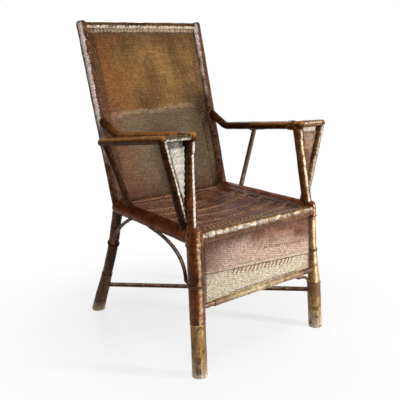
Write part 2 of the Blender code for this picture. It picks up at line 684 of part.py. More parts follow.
# Wrap on the left end of the apron rail, between the apron's roll and the leg
path = [apron_inside[1] + Vector((CLEARANCE, 0, 0)), apron_ends[1]]
note("apron_end_space", path, APRON_RAIL_RADIUS + CLEARANCE + SKIN / 2)
piece = wrap("apron_end_wrap", path, APRON_RAIL_RADIUS + CLEARANCE, SKIN / 2, BROWN_CANE)
cut(piece, ["leg_wrap_space_left", "front_leg_left", "foot_wrap_space_left"])

# Seat: woven over the four rails and sagging between them, with folds across it and a border on each side
SEAT_LIFT = CROSS_RAIL_RADIUS / 2
steps = 8


def edge_shares(width, border):
    """Shares of a width at its edges, at both sides of each border's hem and evenly between them."""
    hem = border / width
    inside = [hem + (1 - 2 * hem) * k / steps for k in range(1, steps)]
    return [0.0, hem - SEAM_STEP / width, hem, *inside, 1 - hem, 1 - hem + SEAM_STEP / width, 1.0]


def fold_line(number, u):
    """Distance of a fold behind the front rail."""
    return SEAT_FOLDS[number] + FOLD_SWAY * math.sin(2 * math.pi * (1.3 * u + 0.37 * number))


shares = edge_shares(SEAT_WIDTH_FRONT, SEAT_BORDER)
lines = [[(0.0, 0.0)] * len(shares)]
for number in range(len(SEAT_FOLDS)):
    for shift, rise in ((-FOLD_FRONT, 0.0), (0.0, FOLD_RISE), (FOLD_REAR, 0.0)):
        lines.append([((fold_line(number, u) + shift) / SEAT_DEPTH, rise) for u in shares])
lines.append([(1.0, 0.0)] * len(shares))
rows = []
for line in lines:
    row = []
    for u, (v, rise) in zip(shares, line):
        point = front_ends[0].lerp(front_ends[1], u).lerp(rear_ends[0].lerp(rear_ends[1], u), v)
        on_border = u < shares[2] or u > shares[-3]
        point.z += SEAT_LIFT - SEAT_SAG * math.sin(math.pi * u) * math.sin(math.pi * v)
        point.z += BORDER_RISE if on_border else rise
        row.append(point)
    rows.append(row)
seat = woven("seat_cover", rows, BROWN_CANE)
join(seat, ["front_roll", "rear_roll", "side_roll_left", "side_roll_right"])
for tag in ("left", "right"):
    cut(seat, ["collar_space_" + tag, "rear_post_" + tag])
cut(seat, ["front_seat_rail", "rear_seat_rail", "side_seat_rail_left", "side_seat_rail_right"])
for tag in ("left", "right"):
    cut(seat, ["arm_inner_post_" + tag, "arm_outer_post_" + tag, "arm_strut_" + tag])

# Back: woven over the stiles and the top rail, hollow and slightly wavy, with a border on three sides
low_ends = across(at_height(REAR_JOINT, BACK_TOP, REAR_RAIL_HEIGHT + CROSS_SKIN / 2))
normal = (BACK_TOP - REAR_JOINT).cross(Vector((1, 0, 0))).normalized()
if normal.y < 0:
    normal = -normal
shares = edge_shares(SEAT_WIDTH_REAR, BACK_BORDER)
top_hem = 1 - BACK_TOP_BORDER / (BACK_TOP - REAR_JOINT).length
heights = [top_hem * k / steps for k in range(steps + 1)]
rows = []
for v in heights + [top_hem + SEAM_STEP, 1.0]:
    row = []
    for u in shares:
        point = low_ends[0].lerp(low_ends[1], u).lerp(top_ends[0].lerp(top_ends[1], u), v)
        on_border = u < shares[2] or u > shares[-3] or v > top_hem
        depth = BACK_HOLLOW * math.sin(math.pi * u) * math.sin(math.pi * v)
        wave = math.sin(2 * math.pi * (1.1 * u + 0.15)) * math.sin(2 * math.pi * (2.1 * v + 0.3))
        depth += BACK_WAVE * wave
        row.append(point + normal * (depth - BORDER_RISE * on_border))
    rows.append(row)
back = woven("back_cover", rows, BACK_CANE)
join(back, ["stile_roll_left", "stile_roll_right", "top_roll"])
cut(back, ["back_top_rail", "rear_roll", "side_roll_left", "side_roll_right"])
for tag in ("left", "right"):
    cut(back, ["rear_post_" + tag, "arm_inner_pole_" + tag])

# Apron: woven between the front legs, from the front rail down round the apron rail, with a lapped seam


def beside_leg(side, height, radius):
    """Point of the apron's edge at a height, clear of a leg of this radius and of the cords on it."""
    off = skin_radius(radius) + 2 * CORD_RADIUS + APRON_GAP
    return on_side(at_height(FRONT_FOOT, FRONT_JOINT, height) - Vector((off, 0, 0)), side)


apron_top = SEAT_RAIL_HEIGHT - CROSS_SKIN / 2
sides = []
for side, tag, seam in ((-1, "right", SEAM_RIGHT), (1, "left", SEAM_LEFT)):
    top_radius = profile_radius(LEG_PROFILE[tag], apron_top)
    low_radius = max(top_radius, profile_radius(LEG_PROFILE[tag], APRON_HEIGHT))
    sides.append((beside_leg(side, APRON_HEIGHT, low_radius), beside_leg(side, apron_top, top_radius), seam))
under_lap = [at_height(low, high, seam - SEAM_STEP) for low, high, seam in sides]
on_lap = [at_height(low, high, seam) - Vector((0, SEAM_LAP, 0)) for low, high, seam in sides]
rows = [[low for low, high, seam in sides], under_lap, on_lap, [high for low, high, seam in sides]]
apron = woven("apron_cover", rows, PALE_CANE)
join(apron, ["apron_roll"])
cut(apron, ["apron_rail", "front_roll", "apron_bracket", "apron_end_space"])

# Arms: woven over the two poles and the bar, with a web between the posts
for side, tag in ((1, "left"), (-1, "right")):
    inner = PATHS["inner_roll_" + tag]
    front = on_side(ARM_INNER, side)
    corner = on_side(ARM_OUTER, side)
    tip = on_side(ARM_TIP, side)
    rear_inner = inner[0].lerp(front, ARM_SKIN_START)
    rear_outer = tip.lerp(corner, TIP_SKIN_START)
    lift = Vector((0, 0, ARM_WEB_LIFT))
    rows = [[rear_inner + lift, rear_outer + lift], [front + lift, corner + lift]]
    cover = woven("arm_cover_" + tag, rows, BROWN_CANE)
    join(cover, ["inner_roll_" + tag, "outer_roll_" + tag, "bar_roll_" + tag])
    for name in ("arm_inner_pole_", "arm_outer_pole_", "arm_front_bar_"):
        cut(cover, [name + tag])
    for name in ("arm_inner_post_", "arm_outer_post_", "arm_strut_"):
        cut(cover, [name + tag])

    inner = PATHS["arm_inner_post_" + tag]
    outer = PATHS["arm_outer_post_" + tag]
    apex = LEG_TOP + PANEL_APEX
    low = [at_height(inner[0], inner[1], apex), at_height(outer[0], outer[1], apex)]
    top = ARM_HEIGHT - PANEL_DROP
    high = [at_height(inner[0], inner[1], top), at_height(outer[0], outer[1], top)]
    cover = woven("arm_front_cover_" + tag, [low, high], BROWN_CANE)
    cut(cover, ["arm_inner_post_" + tag, "arm_outer_post_" + tag])
    cut(cover, ["inner_roll_" + tag, "outer_roll_" + tag, "bar_roll_" + tag])


def winding(name, path, height, inside):
    """Cord wound round a pole; prints the least gap between its turns."""
    centre = point_at(path, 2, height)
    along = (point_at(path, 2, height + CORD_PITCH) - centre).normalized()
    first = along.cross(Vector((0, 1, 0))).normalized()
    second = along.cross(first)
    per_turn = 24
    radius = inside + 2 * CLEARANCE + CORD_RADIUS
    path = []
    for k in range(CORD_TURNS * per_turn + 1):
        angle = 2 * math.pi * k / per_turn
        lift = CORD_PITCH * (k / per_turn - CORD_TURNS / 2)
        path.append(centre + along * lift + (first * math.cos(angle) + second * math.sin(angle)) * radius)
    least = min(
        (a - b).length
        for i, a in enumerate(path)
        for b in path[i + per_turn // 2:]
    )
    print(name, "least gap between turns, mm:", round((least - 2 * CORD_RADIUS) * 1000, 2))
    return paint(tube(name, path, CORD_RADIUS, 6, PARTS), CORD, 0.6)


# Cords wound round the legs under the feet of the braces
below = BRACE_DROP + CORD_DROP + CORD_PITCH * CORD_TURNS / 2
for tag in ("left", "right"):
    height = SEAT_RAIL_HEIGHT - below
    inside = skin_radius(profile_radius(LEG_PROFILE[tag], height - CORD_PITCH * CORD_TURNS))
    winding("front_binding_" + tag, PATHS["front_leg_" + tag], height, inside)
    height = REAR_RAIL_HEIGHT - below
    winding("rear_binding_" + tag, PATHS["rear_post_" + tag], height, skin_radius(REAR_POST_RADIUS))
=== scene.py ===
import math

import bpy
import numpy as np
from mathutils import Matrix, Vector


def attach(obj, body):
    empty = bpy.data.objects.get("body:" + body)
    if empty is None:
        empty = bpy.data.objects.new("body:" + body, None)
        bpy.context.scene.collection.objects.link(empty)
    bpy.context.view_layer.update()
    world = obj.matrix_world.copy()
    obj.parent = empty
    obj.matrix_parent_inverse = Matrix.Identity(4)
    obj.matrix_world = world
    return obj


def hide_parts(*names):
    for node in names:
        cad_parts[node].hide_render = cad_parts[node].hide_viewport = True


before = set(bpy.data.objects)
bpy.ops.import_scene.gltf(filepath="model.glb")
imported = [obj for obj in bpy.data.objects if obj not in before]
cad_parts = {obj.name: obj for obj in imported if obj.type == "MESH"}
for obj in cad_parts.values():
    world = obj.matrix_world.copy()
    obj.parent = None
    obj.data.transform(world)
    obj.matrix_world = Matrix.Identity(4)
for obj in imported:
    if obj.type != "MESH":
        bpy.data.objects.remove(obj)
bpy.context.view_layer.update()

# The armchair's visible cane: woven sheets, wound poles, stitches and bare canes.
# Metres, +Z up, the front faces -Y, +X is the sitter's left.

# Pole axes, as in the solids
SEAT_Z = 0.41
REAR_Z = 0.4206
FRONT_X = 0.2566
REAR_X = 0.2383
FRONT_Y = -0.2776
REAR_Y = 0.1431
FRONT_FOOT = (0.2638, -0.3104, 0.0)
REAR_FOOT = (0.2335, 0.3081, 0.0)
REAR_BOW = 0.015
BOW_RISE = 1.3
BACK_TOP = (0.2499, 0.3138, 1.014)
BACK_TILT = 0.011
SIDE_RISE = 0.003
KNOB = 0.012
APRON_Z = 0.2055
ARM_Z = 0.694
ARM_INNER = (0.2306, -0.238, 0.694)
ARM_OUTER = (0.3376, -0.238, 0.694)
ARM_BEND = (0.2383, 0.1331, 0.6605)
ARM_STILE_Z = 0.707
ARM_TIP = (0.328, 0.089, 0.652)
FOOT_TOP = 0.16
COLLAR_LOW = 0.3862
COLLAR_HIGH = 0.44
REAR_WRAP_TOP = 0.3848

# Outer radii of the wound poles
LEG = 0.0218
LEG_SLIM = 0.0131
LEG_SLIM_Z = 0.275
LEG_STOUT = 0.0239
LEG_STOUT_Z = 0.172
FOOT = 0.0231
REAR_FOOT_LOW = 0.0234
STILE = 0.0171
CROSS = 0.0146
SIDE = 0.0238
TOP = 0.0121
ARM_IN = 0.0135
ARM_OUT = 0.0114
ARM_BAR = 0.0092
INNER_POST = {"left": (0.0166, 0.015), "right": (0.0154, 0.012)}
ARM_CORNER = {"left": 0.0162, "right": 0.0146}
OUTER_POST = (0.0146, 0.012)
APRON_ROLL = 0.0105
APRON_RAIL = 0.0083
APRON_END = 0.0097
STRUT = {"left": 0.0088, "right": 0.0102}
BRACE = 0.0055
BRACE_DROP = 0.123
BRACE_TUCK = math.radians(40)
STRETCHER = 0.0078
STRETCHER_FRONT_Z = 0.132
STRETCHER_REAR_Z = 0.1106
STRETCHER_STEP = 0.0159

# Forms of the woven sheets, as in the solids
BACK_HOLLOW = 0.006
BACK_WAVE = 0.0018
BACK_BORDER = 0.043
BACK_TOP_BORDER = 0.024
SEAT_SAG = 0.016
SEAT_FOLDS = (0.07, 0.128, 0.19, 0.255, 0.318)
FOLD_RISE = 0.003
FOLD_FRONT = 0.01
FOLD_REAR = 0.024
FOLD_SWAY = 0.006
SEAT_BORDER = 0.034
BORDER_LIFT = 0.0125
BORDER_RISE = 0.0014
HEM = 0.003
WEB_WIDTH = 0.105
PANEL_WIDTH = 0.098
APRON_EDGES = {"right": (0.0281, 0.0281), "left": (0.0173, 0.0226)}

# Weave: pitch of the weavers and of the stakes, height of a strand and its rise over a stake
WEAVER = 0.003
STAKE = 0.014
STRAND = 0.00045
RISE = 0.0003
SHEET = 0.0016
ROW_STEPS = 4
STAKE_STEPS = 5

TAU = math.tau
SIDES = ((1, "left"), (-1, "right"))
FLOOR_GAP = 0.0006
BROWN = "brown_woven_cane"


def v3(*c):
    return np.array(c, float)


def side_of(point, side):
    return v3(point[0] * side, point[1], point[2])


def mix(a, b, t):
    return a + (b - a) * t


def at_z(low, high, z):
    return mix(low, high, (z - low[2]) / (high[2] - low[2]))


def unit(a):
    return a / np.maximum(np.linalg.norm(a, axis=-1, keepdims=True), 1e-12)


def smooth(x):
    x = np.clip(x, 0.0, 1.0)
    return x * x * (3 - 2 * x)


def bump(x, centre, width):
    return np.exp(-(((x - centre) / width) ** 2))


def ripple(a, b, seed):
    """Slow uneven waves of two coordinates, from -1 to 1."""
    own = np.random.default_rng(seed)
    total = 0.0
    for k in range(5):
        p, q, r = own.normal(0, 1), own.normal(0, 1), own.uniform(0, 6.28)
        total = total + np.sin(p * a + q * b + r) / (1 + 0.3 * k)
    return total / 3.2


def corner(start, bend, end, radius, steps=18):
    """Points from start to end with an arc in place of the corner."""
    before, after = unit(start - bend), unit(end - bend)
    half = math.acos(np.clip(before @ after, -1, 1)) / 2
    centre = bend + unit(before + after) * radius / math.sin(half)
    reach = radius / math.tan(half)
    first, last = bend + before * reach - centre, bend + after * reach - centre
    turn = math.acos(np.clip(unit(first) @ unit(last), -1, 1))
    axis = unit(np.cross(first, last))
    points = [start]
    for k in range(steps + 1):
        a = turn * k / steps
        points.append(centre + first * math.cos(a) + np.cross(axis, first) * math.sin(a))
    return np.array(points + [end])


def arch(start, knee, end, steps=20):
    t = np.linspace(0, 1, steps + 1)[:, None]
    return mix(mix(start, knee, t), mix(knee, end, t), t)


def longer(path, before, after):
    path = np.array(path, float)
    path[0] = path[0] + unit(path[0] - path[1]) * before
    path[-1] = path[-1] + unit(path[-1] - path[-2]) * after
    return path


def point_at(path, axis, value):
    """Point of a path at a value of a coordinate that grows along it."""
    return np.array([np.interp(value, path[:, axis], path[:, k]) for k in range(3)])


def distances(path):
    """Distance of each point of a path from its start."""
    return np.concatenate([[0], np.cumsum(np.linalg.norm(np.diff(path, axis=0), axis=1))])


def portion(path, axis, low, high):
    """Stretch of a path between two values of a coordinate that grows or falls along it."""
    path = np.array(path, float)
    if path[0][axis] > path[-1][axis]:
        path = path[::-1]
    inside = path[(path[:, axis] > low + 0.001) & (path[:, axis] < high - 0.001)]
    return np.vstack([point_at(path, axis, low), inside, point_at(path, axis, high)])


def mesh_of(name, points, quads, tris, quad_uv, tri_uv, relief, material, band=None):
    """Mesh object from arrays, with a UV map, strand height and a band of borders and painted light as
    attributes.
    """
    mesh = bpy.data.meshes.new(name)
    loops = np.concatenate([quads.ravel(), tris.ravel()]).astype(np.int32)
    starts = np.concatenate([np.arange(len(quads)) * 4, len(quads) * 4 + np.arange(len(tris)) * 3])
    mesh.vertices.add(len(points))
    mesh.vertices.foreach_set("co", np.ascontiguousarray(points, np.float32).ravel())
    mesh.loops.add(len(loops))
    mesh.loops.foreach_set("vertex_index", loops)
    mesh.polygons.add(len(starts))
    mesh.polygons.foreach_set("loop_start", starts.astype(np.int32))
    mesh.update(calc_edges=True)
    uv = mesh.uv_layers.new(name="wind")
    flat = np.concatenate([quad_uv.reshape(-1, 2), tri_uv.reshape(-1, 2)])
    uv.data.foreach_set("uv", np.ascontiguousarray(flat, np.float32).ravel())
    height = mesh.attributes.new("relief", "FLOAT", "POINT")
    height.data.foreach_set("value", np.ascontiguousarray(relief, np.float32).ravel())
    border = mesh.attributes.new("band", "FLOAT", "POINT")
    if band is not None:
        border.data.foreach_set("value", np.ascontiguousarray(band, np.float32).ravel())
    mesh.polygons.foreach_set("use_smooth", np.ones(len(starts), bool))
    mesh.validate()
    piece = bpy.data.objects.new(name, mesh)
    bpy.context.scene.collection.objects.link(piece)
    mesh.materials.append(material)
    return piece


def put(piece, slot, *nodes):
    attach(piece, "root")
    if nodes:
        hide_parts(*nodes)


def axis_frames(points, ref):
    """Two directions across a path at each of its points, without twist."""
    first = np.array(ref, float)
    one, two = [], []
    for t in unit(np.gradient(points, axis=0)):
        first = first - t * (first @ t)
        first = first / np.linalg.norm(first)
        one.append(first)
        two.append(np.cross(t, first))
    return np.array(one), np.array(two)


def tube(n, m):
    """Faces of a tube of n rings of m points, and of its ends, each round one more point."""
    i, j = np.meshgrid(np.arange(n - 1), np.arange(m), indexing="ij")
    k = (j + 1) % m
    quads = np.stack([i * m + j, i * m + k, (i + 1) * m + k, (i + 1) * m + j], -1).reshape(-1, 4)
    j, k, last = j[0], k[0], (n - 1) * m
    low = np.stack([k, j, np.full(m, n * m)], -1)
    high = np.stack([last + j, last + k, np.full(m, n * m + 1)], -1)
    return quads, np.vstack([low, high])


def sweep(name, path, radius, material, step=0.0015, around=32, ref=(0, -1, 0), domes=(0, 0)):
    """Closed round body along a path. radius(s, a) gives its radius and relief at s metres and a turns."""
    path = np.array(path, float)
    lengths = distances(path)
    total = lengths[-1]
    count = max(3, int(math.ceil((total - sum(domes)) / step)) + 1)
    s = np.linspace(domes[0], total - domes[1], count)
    curve = np.linspace(0, math.pi / 2, 7)[1:-1]
    if domes[0]:
        s = np.concatenate([domes[0] * (1 - np.cos(curve)), s])
    if domes[1]:
        s = np.concatenate([s, total - domes[1] * (1 - np.cos(curve))[::-1]])
    centre = np.array([np.interp(s, lengths, path[:, k]) for k in range(3)]).T
    one, two = axis_frames(centre, ref)
    a = np.arange(around) / around
    r, relief = radius(s[:, None], a[None, :])
    r = np.broadcast_to(r, (len(s), around)).copy()
    relief = np.broadcast_to(relief, (len(s), around)).copy()
    if domes[0]:
        near = np.clip((domes[0] - s) / domes[0], 0, 1)
        r *= np.sqrt(1 - near**2)[:, None]
    if domes[1]:
        near = np.clip((s - total + domes[1]) / domes[1], 0, 1)
        r *= np.sqrt(1 - near**2)[:, None]
    turn = TAU * a[None, :, None]
    ring = one[:, None, :] * np.cos(turn) + two[:, None, :] * np.sin(turn)
    points = (centre[:, None, :] + ring * r[:, :, None]).reshape(-1, 3)
    points = np.vstack([points, path[0], path[-1]])
    quads, tris = tube(len(s), around)
    i, j = np.meshgrid(np.arange(len(s) - 1), np.arange(around), indexing="ij")
    turns = np.append(a, 1.0)
    steps = ((0, 0), (0, 1), (1, 1), (1, 0))
    quad_uv = np.stack([np.stack([s[i + x], turns[j + y]], -1) for x, y in steps], 2)
    tri_uv = np.full((len(tris), 3, 2), 0.5)
    tri_uv[:around, :, 0] = s[0]
    tri_uv[around:, :, 0] = s[-1]
    relief = np.append(relief.ravel(), [0.5, 0.5])
    return mesh_of(name, points, quads, tris, quad_uv, tri_uv, relief, material)


def even(base):
    """A radius that is given as a number or as a function of the distance along the pole."""
    if callable(base):
        return base
    return lambda s: base + 0 * s


def taped(base, pitch, lift, hand=1, edge=0.1, seed=1, uneven=0.0003):
    """Turns of a flat band, each lapping over the last."""
    base = even(base)

    def radius(s, a):
        sway = 0.12 * ripple(s * 40, a * 0, seed)
        t = (s / pitch + hand * a + sway) % 1.0
        h = np.where(t < 1 - edge, t / (1 - edge), (1 - t) / edge)
        rough = uneven * ripple(s * 70, np.sin(TAU * a) * 2, seed + 1)
        return base(s) + lift * (h - 0.5) + rough, h
    return radius


def lapped(base, lift, seam, seed=1, uneven=0.0004):
    """A sheet rolled round the pole, with one seam along it."""
    base = even(base)

    def radius(s, a):
        t = (a - seam + 0.02 * ripple(s * 30, a * 0, seed)) % 1.0
        rough = uneven * ripple(s * 50, np.sin(TAU * a) * 3, seed + 1)
        return base(s) + lift * (t - 0.5) + rough, 0.55 + 0.4 * t
    return radius


def corded(base, pitch, lift):
    """Turns of a round strand laid side by side."""
    base = even(base)

    def radius(s, a):
        t = (s / pitch + a) % 1.0
        h = np.sin(np.pi * t) ** 0.7
        rough = 0.0002 * ripple(s * 60, np.sin(TAU * a) * 2, 1)
        return base(s) + lift * (h - 0.6) + rough, h
    return radius


def bamboo(base, joints, swell=0.0008, seed=1):
    """Bare rattan: a slightly uneven pole with a raised ring at each of its joints."""
    base = even(base)

    def radius(s, a):
        r = base(s) + 0.0003 * ripple(s * 30, np.sin(TAU * a) * 2, seed)
        h = 0.6 + 0 * (s + a)
        for place in joints:
            r = r + swell * bump(s, place, 0.0022) - 0.5 * swell * bump(s, place + 0.0045, 0.0018)
            h = h - 0.6 * bump(s, place + 0.004, 0.0016)
        groove = 0.04 * np.sin(TAU * (a * 9 + 0.2 * np.sin(s * 25)))
        return r * (1 + 0.006 * np.sin(TAU * a * 7)), np.clip(h + groove, 0, 1)
    return radius


surfaces = {}


def spots(name, across, along):
    """Places on a woven sheet and the directions out of it, at shares of its width and of its length."""
    top, normal = surfaces[name]
    i = np.rint(np.clip(along, 0, 1) * (top.shape[0] - 1)).astype(int)
    j = np.rint(np.clip(across, 0, 1) * (top.shape[1] - 1)).astype(int)
    return top[i, j], normal[i, j]


def woven(name, base, across, along, material, extra=None, flip=False, band=None, shade=1.0):
    """Closed sheet of weavers that cross stakes, over a grid of base points, with both faces woven."""
    du = np.gradient(base, axis=1)
    dv = np.gradient(base, axis=0)
    normal = unit(np.cross(du, dv))
    if flip:
        normal = -normal
    if extra is not None:
        base = base + normal * extra[:, :, None]
    row = np.floor(along / WEAVER + 1e-6)
    t = along / WEAVER - row
    wave = np.cos(np.pi * (across / STAKE + row))
    strand = np.sin(np.pi * np.clip(t, 0, 1)) ** 0.8
    face = (STRAND + RISE * wave) * strand
    back = (STRAND - RISE * wave) * strand
    top = base + normal * face[:, :, None]
    surfaces[name] = (top, normal)
    under = base - normal * (SHEET + back)[:, :, None]
    n, m = base.shape[:2]
    points = np.vstack([top.reshape(-1, 3), under.reshape(-1, 3)])
    high = STRAND + RISE
    relief = np.concatenate([(shade * face / high).ravel(), (shade * back / high).ravel()])
    i, j = np.meshgrid(np.arange(n - 1), np.arange(m - 1), indexing="ij")
    q = np.stack([i * m + j, i * m + j + 1, (i + 1) * m + j + 1, (i + 1) * m + j], -1).reshape(-1, 4)
    if flip:
        q = q[:, ::-1]
    reverse = q[:, ::-1] + n * m
    edge = np.concatenate([
        np.arange(m - 1),
        np.arange(n - 1) * m + m - 1,
        (n - 1) * m + np.arange(m - 1, 0, -1),
        np.arange(n - 1, 0, -1) * m,
    ])
    after = np.roll(edge, -1)
    rim = np.stack([edge, edge + n * m, after + n * m, after], -1)
    if flip:
        rim = rim[:, ::-1]
    quads = np.vstack([q, reverse, rim])
    uv = np.stack([across.ravel(), along.ravel()], -1)
    uv = np.vstack([uv, uv])
    none = np.zeros((0, 3), int)
    if band is not None:
        band = np.concatenate([band.ravel(), band.ravel()])
    return mesh_of(name, points, quads, none, uv[quads], np.zeros((0, 3, 2)), relief, material, band)


def weave_steps(width, length):
    """Numbers of points across and along that follow the stakes and the weavers."""
    rows = int(round(length / WEAVER))
    stakes = int(round(width / STAKE))
    return stakes * STAKE_STEPS + 1, rows * ROW_STEPS + 1


def sew(name, places, out, way, length, radius, lift, material, sides=6, rings=6):
    """Short stitches of cane: each an arched strand that dives into the skin at both ends."""
    out, way = unit(out)[:, None], unit(np.broadcast_to(way, np.shape(places)))[:, None]
    t = np.append(np.repeat(np.linspace(-1, 1, rings), sides), (-1, 1))[:, None]
    a = np.append(np.tile(TAU * np.arange(sides) / sides, rings), (0, 0))[:, None]
    thick, relief = radius * (1 - 0.45 * t**4), 1 - t**2 / 2
    thick[-2:], relief[-2:] = 0, 0.3
    middle = places[:, None] + way * (t * length / 2) + out * (lift * (1 - t**2) - radius * 0.4)
    points = middle + thick * (out * np.cos(a) + np.cross(out, way) * np.sin(a))
    first = np.arange(len(places))[:, None, None] * len(t)
    quads, tris = ((faces + first).reshape(-1, faces.shape[1]) for faces in tube(rings, sides))
    piece = mesh_of(name, points.reshape(-1, 3), quads, tris, np.zeros((len(quads), 4, 2)),
        np.zeros((len(tris), 3, 2)), np.tile(relief.ravel(), len(places)), material)
    put(piece, "cord")


# Materials


class Tree:
    """The nodes of a material, with short ways to add those that the canes use."""

    def __init__(self, material):
        material.use_nodes = True
        self.nodes, self.links = material.node_tree.nodes, material.node_tree.links

    def add(self, kind, **settings):
        node = self.nodes.new("ShaderNode" + kind)
        for name, value in settings.items():
            setattr(node, name, value)
        return node

    def feed(self, node, **values):
        """Link or set inputs, given by their names with _ for a space."""
        for name, value in values.items():
            self.join(node.inputs[name.replace("_", " ")], value)
        return node

    def join(self, socket, value):
        if isinstance(value, bpy.types.NodeSocket):
            self.links.new(value, socket)
        else:
            socket.default_value = value

    def blend(self, kind, share, a, b):
        node = self.add("Mix", data_type="RGBA", blend_type=kind, clamp_factor=True)
        for slot, value in ((0, share), (6, a), (7, b)):
            self.join(node.inputs[slot], (*value, 1.0) if isinstance(value, tuple) else value)
        return node.outputs[2]

    def noise(self, vector, scale, detail=4.0, rough=0.55, stretch=None):
        if stretch:
            vector = self.feed(self.add("Mapping"), Scale=stretch, Vector=vector).outputs["Vector"]
        node = self.feed(self.add("TexNoise"), Scale=scale, Detail=detail, Roughness=rough, Vector=vector)
        return node.outputs["Fac"]

    def span(self, value, a, b, c=0.0, d=1.0, kind="SMOOTHSTEP"):
        node = self.add("MapRange", interpolation_type=kind)
        return self.feed(node, Value=value, From_Min=a, From_Max=b, To_Min=c, To_Max=d).outputs["Result"]

    def sums(self, kind, a, b):
        node = self.add("Math", operation=kind)
        self.join(node.inputs[0], a)
        self.join(node.inputs[1], b)
        return node.outputs[0]

    def dot(self, vector, direction):
        node = self.add("VectorMath", operation="DOT_PRODUCT")
        self.join(node.inputs[0], vector)
        self.join(node.inputs[1], direction)
        return node.outputs["Value"]

    def ragged(self, value, depth, *noise):
        """A value with noise added to it."""
        swing = self.sums("SUBTRACT", self.noise(*noise), 0.5)
        return self.sums("ADD", value, self.sums("MULTIPLY", swing, depth))

    def attribute(self, name):
        return self.add("Attribute", attribute_name=name).outputs["Fac"]

    def shaded(self, colour, value, a, b, c, d):
        """A colour times a grey that follows a value."""
        level = self.span(value, a, b, c, d, "LINEAR")
        grey = self.feed(self.add("CombineColor"), Red=level, Green=level, Blue=level)
        return self.blend("MULTIPLY", 1.0, colour, grey.outputs["Color"])


def cane(name, dark, mid, light, blotch=7.0, stretch=None, specks=(), tints=(), rough=(0.3, 0.5), coat=0.0,
         specular=0.4, cavity=0.4, grain=0.35, lumps=60.0, strands=(90.0, 2.0), strand_depth=0.3, band=None,
         painted_light=None):
    """Lacquered cane: blotched colour, painted shade between its strands, specks, painted light and a fine
    grain.

    A tint is a direction, the levels along it where it starts and is full, a colour, its strength, and the
    depth and scale of its ragged edge. Painted light is a highlight, or a shade, painted on the faces that
    turn one way: its colour, its strength, the way it faces, where that starts and is full, the depth and
    scale of its edge, and at times a zone of the chair that it keeps to.
    """
    material = bpy.data.materials.new(name)
    tree = Tree(material)
    place = tree.add("TexCoord").outputs["Object"]
    ramp = tree.feed(tree.add("ValToRGB"), Fac=tree.noise(place, blotch, 6.0, 0.62, stretch))
    stops = ramp.color_ramp.elements
    for number, position, tone in ((0, 0.3, dark), (1, 0.72, light)):
        stops[number].position, stops[number].color = position, (*tone, 1)
    stops.new(0.5).color = (*mid, 1)
    colour = ramp.outputs["Color"]
    for direction, start, end, tint, strength, jitter, scale in tints:
        level = tree.ragged(tree.dot(place, direction), jitter, place, scale, 5.0, 0.65)
        colour = tree.blend("MIX", tree.span(level, start, end, 0.0, strength), colour, tint)
    # Band: a border colour, painted shade in grooves, gaps, creases and recesses, and on the far arm panel
    # a pale painted highlight on its rims.
    if band:
        faded = tree.span(tree.noise(place, 30.0), 0.3, 0.7, 0.55, 0.95)
        colour = tree.blend("MIX", tree.sums("MULTIPLY", tree.attribute("band"), faded), colour, band)
    # Painted light: a painted highlight, or on the rear legs a painted shade, on the faces turned one way.
    if painted_light:
        tint, strength, direction, start, end, jitter, scale, *zones = painted_light
        facing = tree.dot(tree.add("NewGeometry").outputs["Normal"], unit(v3(*direction)))
        share = tree.span(tree.ragged(facing, jitter, place, scale, 4.0, 0.6), start, end, 0.0, strength)
        for direction, start, end, jitter in zones:
            level = tree.ragged(tree.dot(place, direction), jitter, place, 16.0, 3.0, 0.6)
            share = tree.sums("MULTIPLY", share, tree.span(level, start, end))
        colour = tree.blend("MIX", share, colour, tint)
    colour = tree.shaded(colour, tree.noise(place, 130.0, 3.0, 0.6), 0.25, 0.75, 0.6, 1.4)
    wind = tree.add("UVMap", uv_map="wind").outputs["UV"]
    strand = tree.noise(wind, 1.0, 2.0, 0.5, (*strands, 1.0))
    colour = tree.shaded(colour, strand, 0.25, 0.75, 1.0 - strand_depth, 1.0 + strand_depth)
    # Painted shade where the relief is low: between strands, at laps, seams and joints, and in the seat's
    # fold valleys; a little lighter on crests.
    colour = tree.shaded(colour, tree.attribute("relief"), 0.0, 0.8, 1.0 - cavity, 1.12)
    for scale, low, high, tint, strength in specks:
        dots = tree.span(tree.noise(place, scale, 2.0, 0.5), low, high, 0.0, strength)
        colour = tree.blend("MIX", dots, colour, tint)
    wear = tree.span(tree.noise(place, 38.0, 4.0, 0.6), 0.3, 0.7, *rough, "LINEAR")
    fibre = tree.sums("MULTIPLY", tree.noise(place, 420.0, 3.0, 0.6), 0.5)
    height = tree.sums("ADD", fibre, tree.noise(place, lumps, 3.0, 0.5))
    dent = tree.feed(tree.add("Bump"), Strength=grain, Distance=0.004, Height=height)
    tree.feed(tree.nodes["Principled BSDF"], Base_Color=colour, Roughness=wear, Specular_IOR_Level=specular,
              Coat_Weight=coat, Coat_Roughness=0.16, Normal=dent.outputs["Normal"])
    return material


OCHRE = (0.36, 0.17, 0.035)
PALE = (0.55, 0.45, 0.38)
WOVEN = (9, 330)
LENGTHWISE = (5, 26)
OCHRE_DOTS = ((240, 0.64, 0.72, OCHRE, 0.5),)
RICH_DOTS = ((240, 0.62, 0.7, OCHRE, 0.6),)
WARM_DOTS = ((240, 0.62, 0.7, OCHRE, 0.5),)
ROLL_DOTS = ((260, 0.62, 0.7, OCHRE, 0.5),)
POST = dict(blotch=26, rough=(0.16, 0.3), cavity=0.35)
ROLLED = dict(blotch=34, specks=ROLL_DOTS, rough=(0.16, 0.32), grain=0.16, lumps=90)
BARE_POLE = dict(rough=(0.14, 0.3), grain=0.15, strands=(6, 25))
FOOT_WRAP = dict(blotch=30, stretch=(1, 1, 0.25), rough=(0.3, 0.55), cavity=0.3, strands=LENGTHWISE,
    strand_depth=0.5)

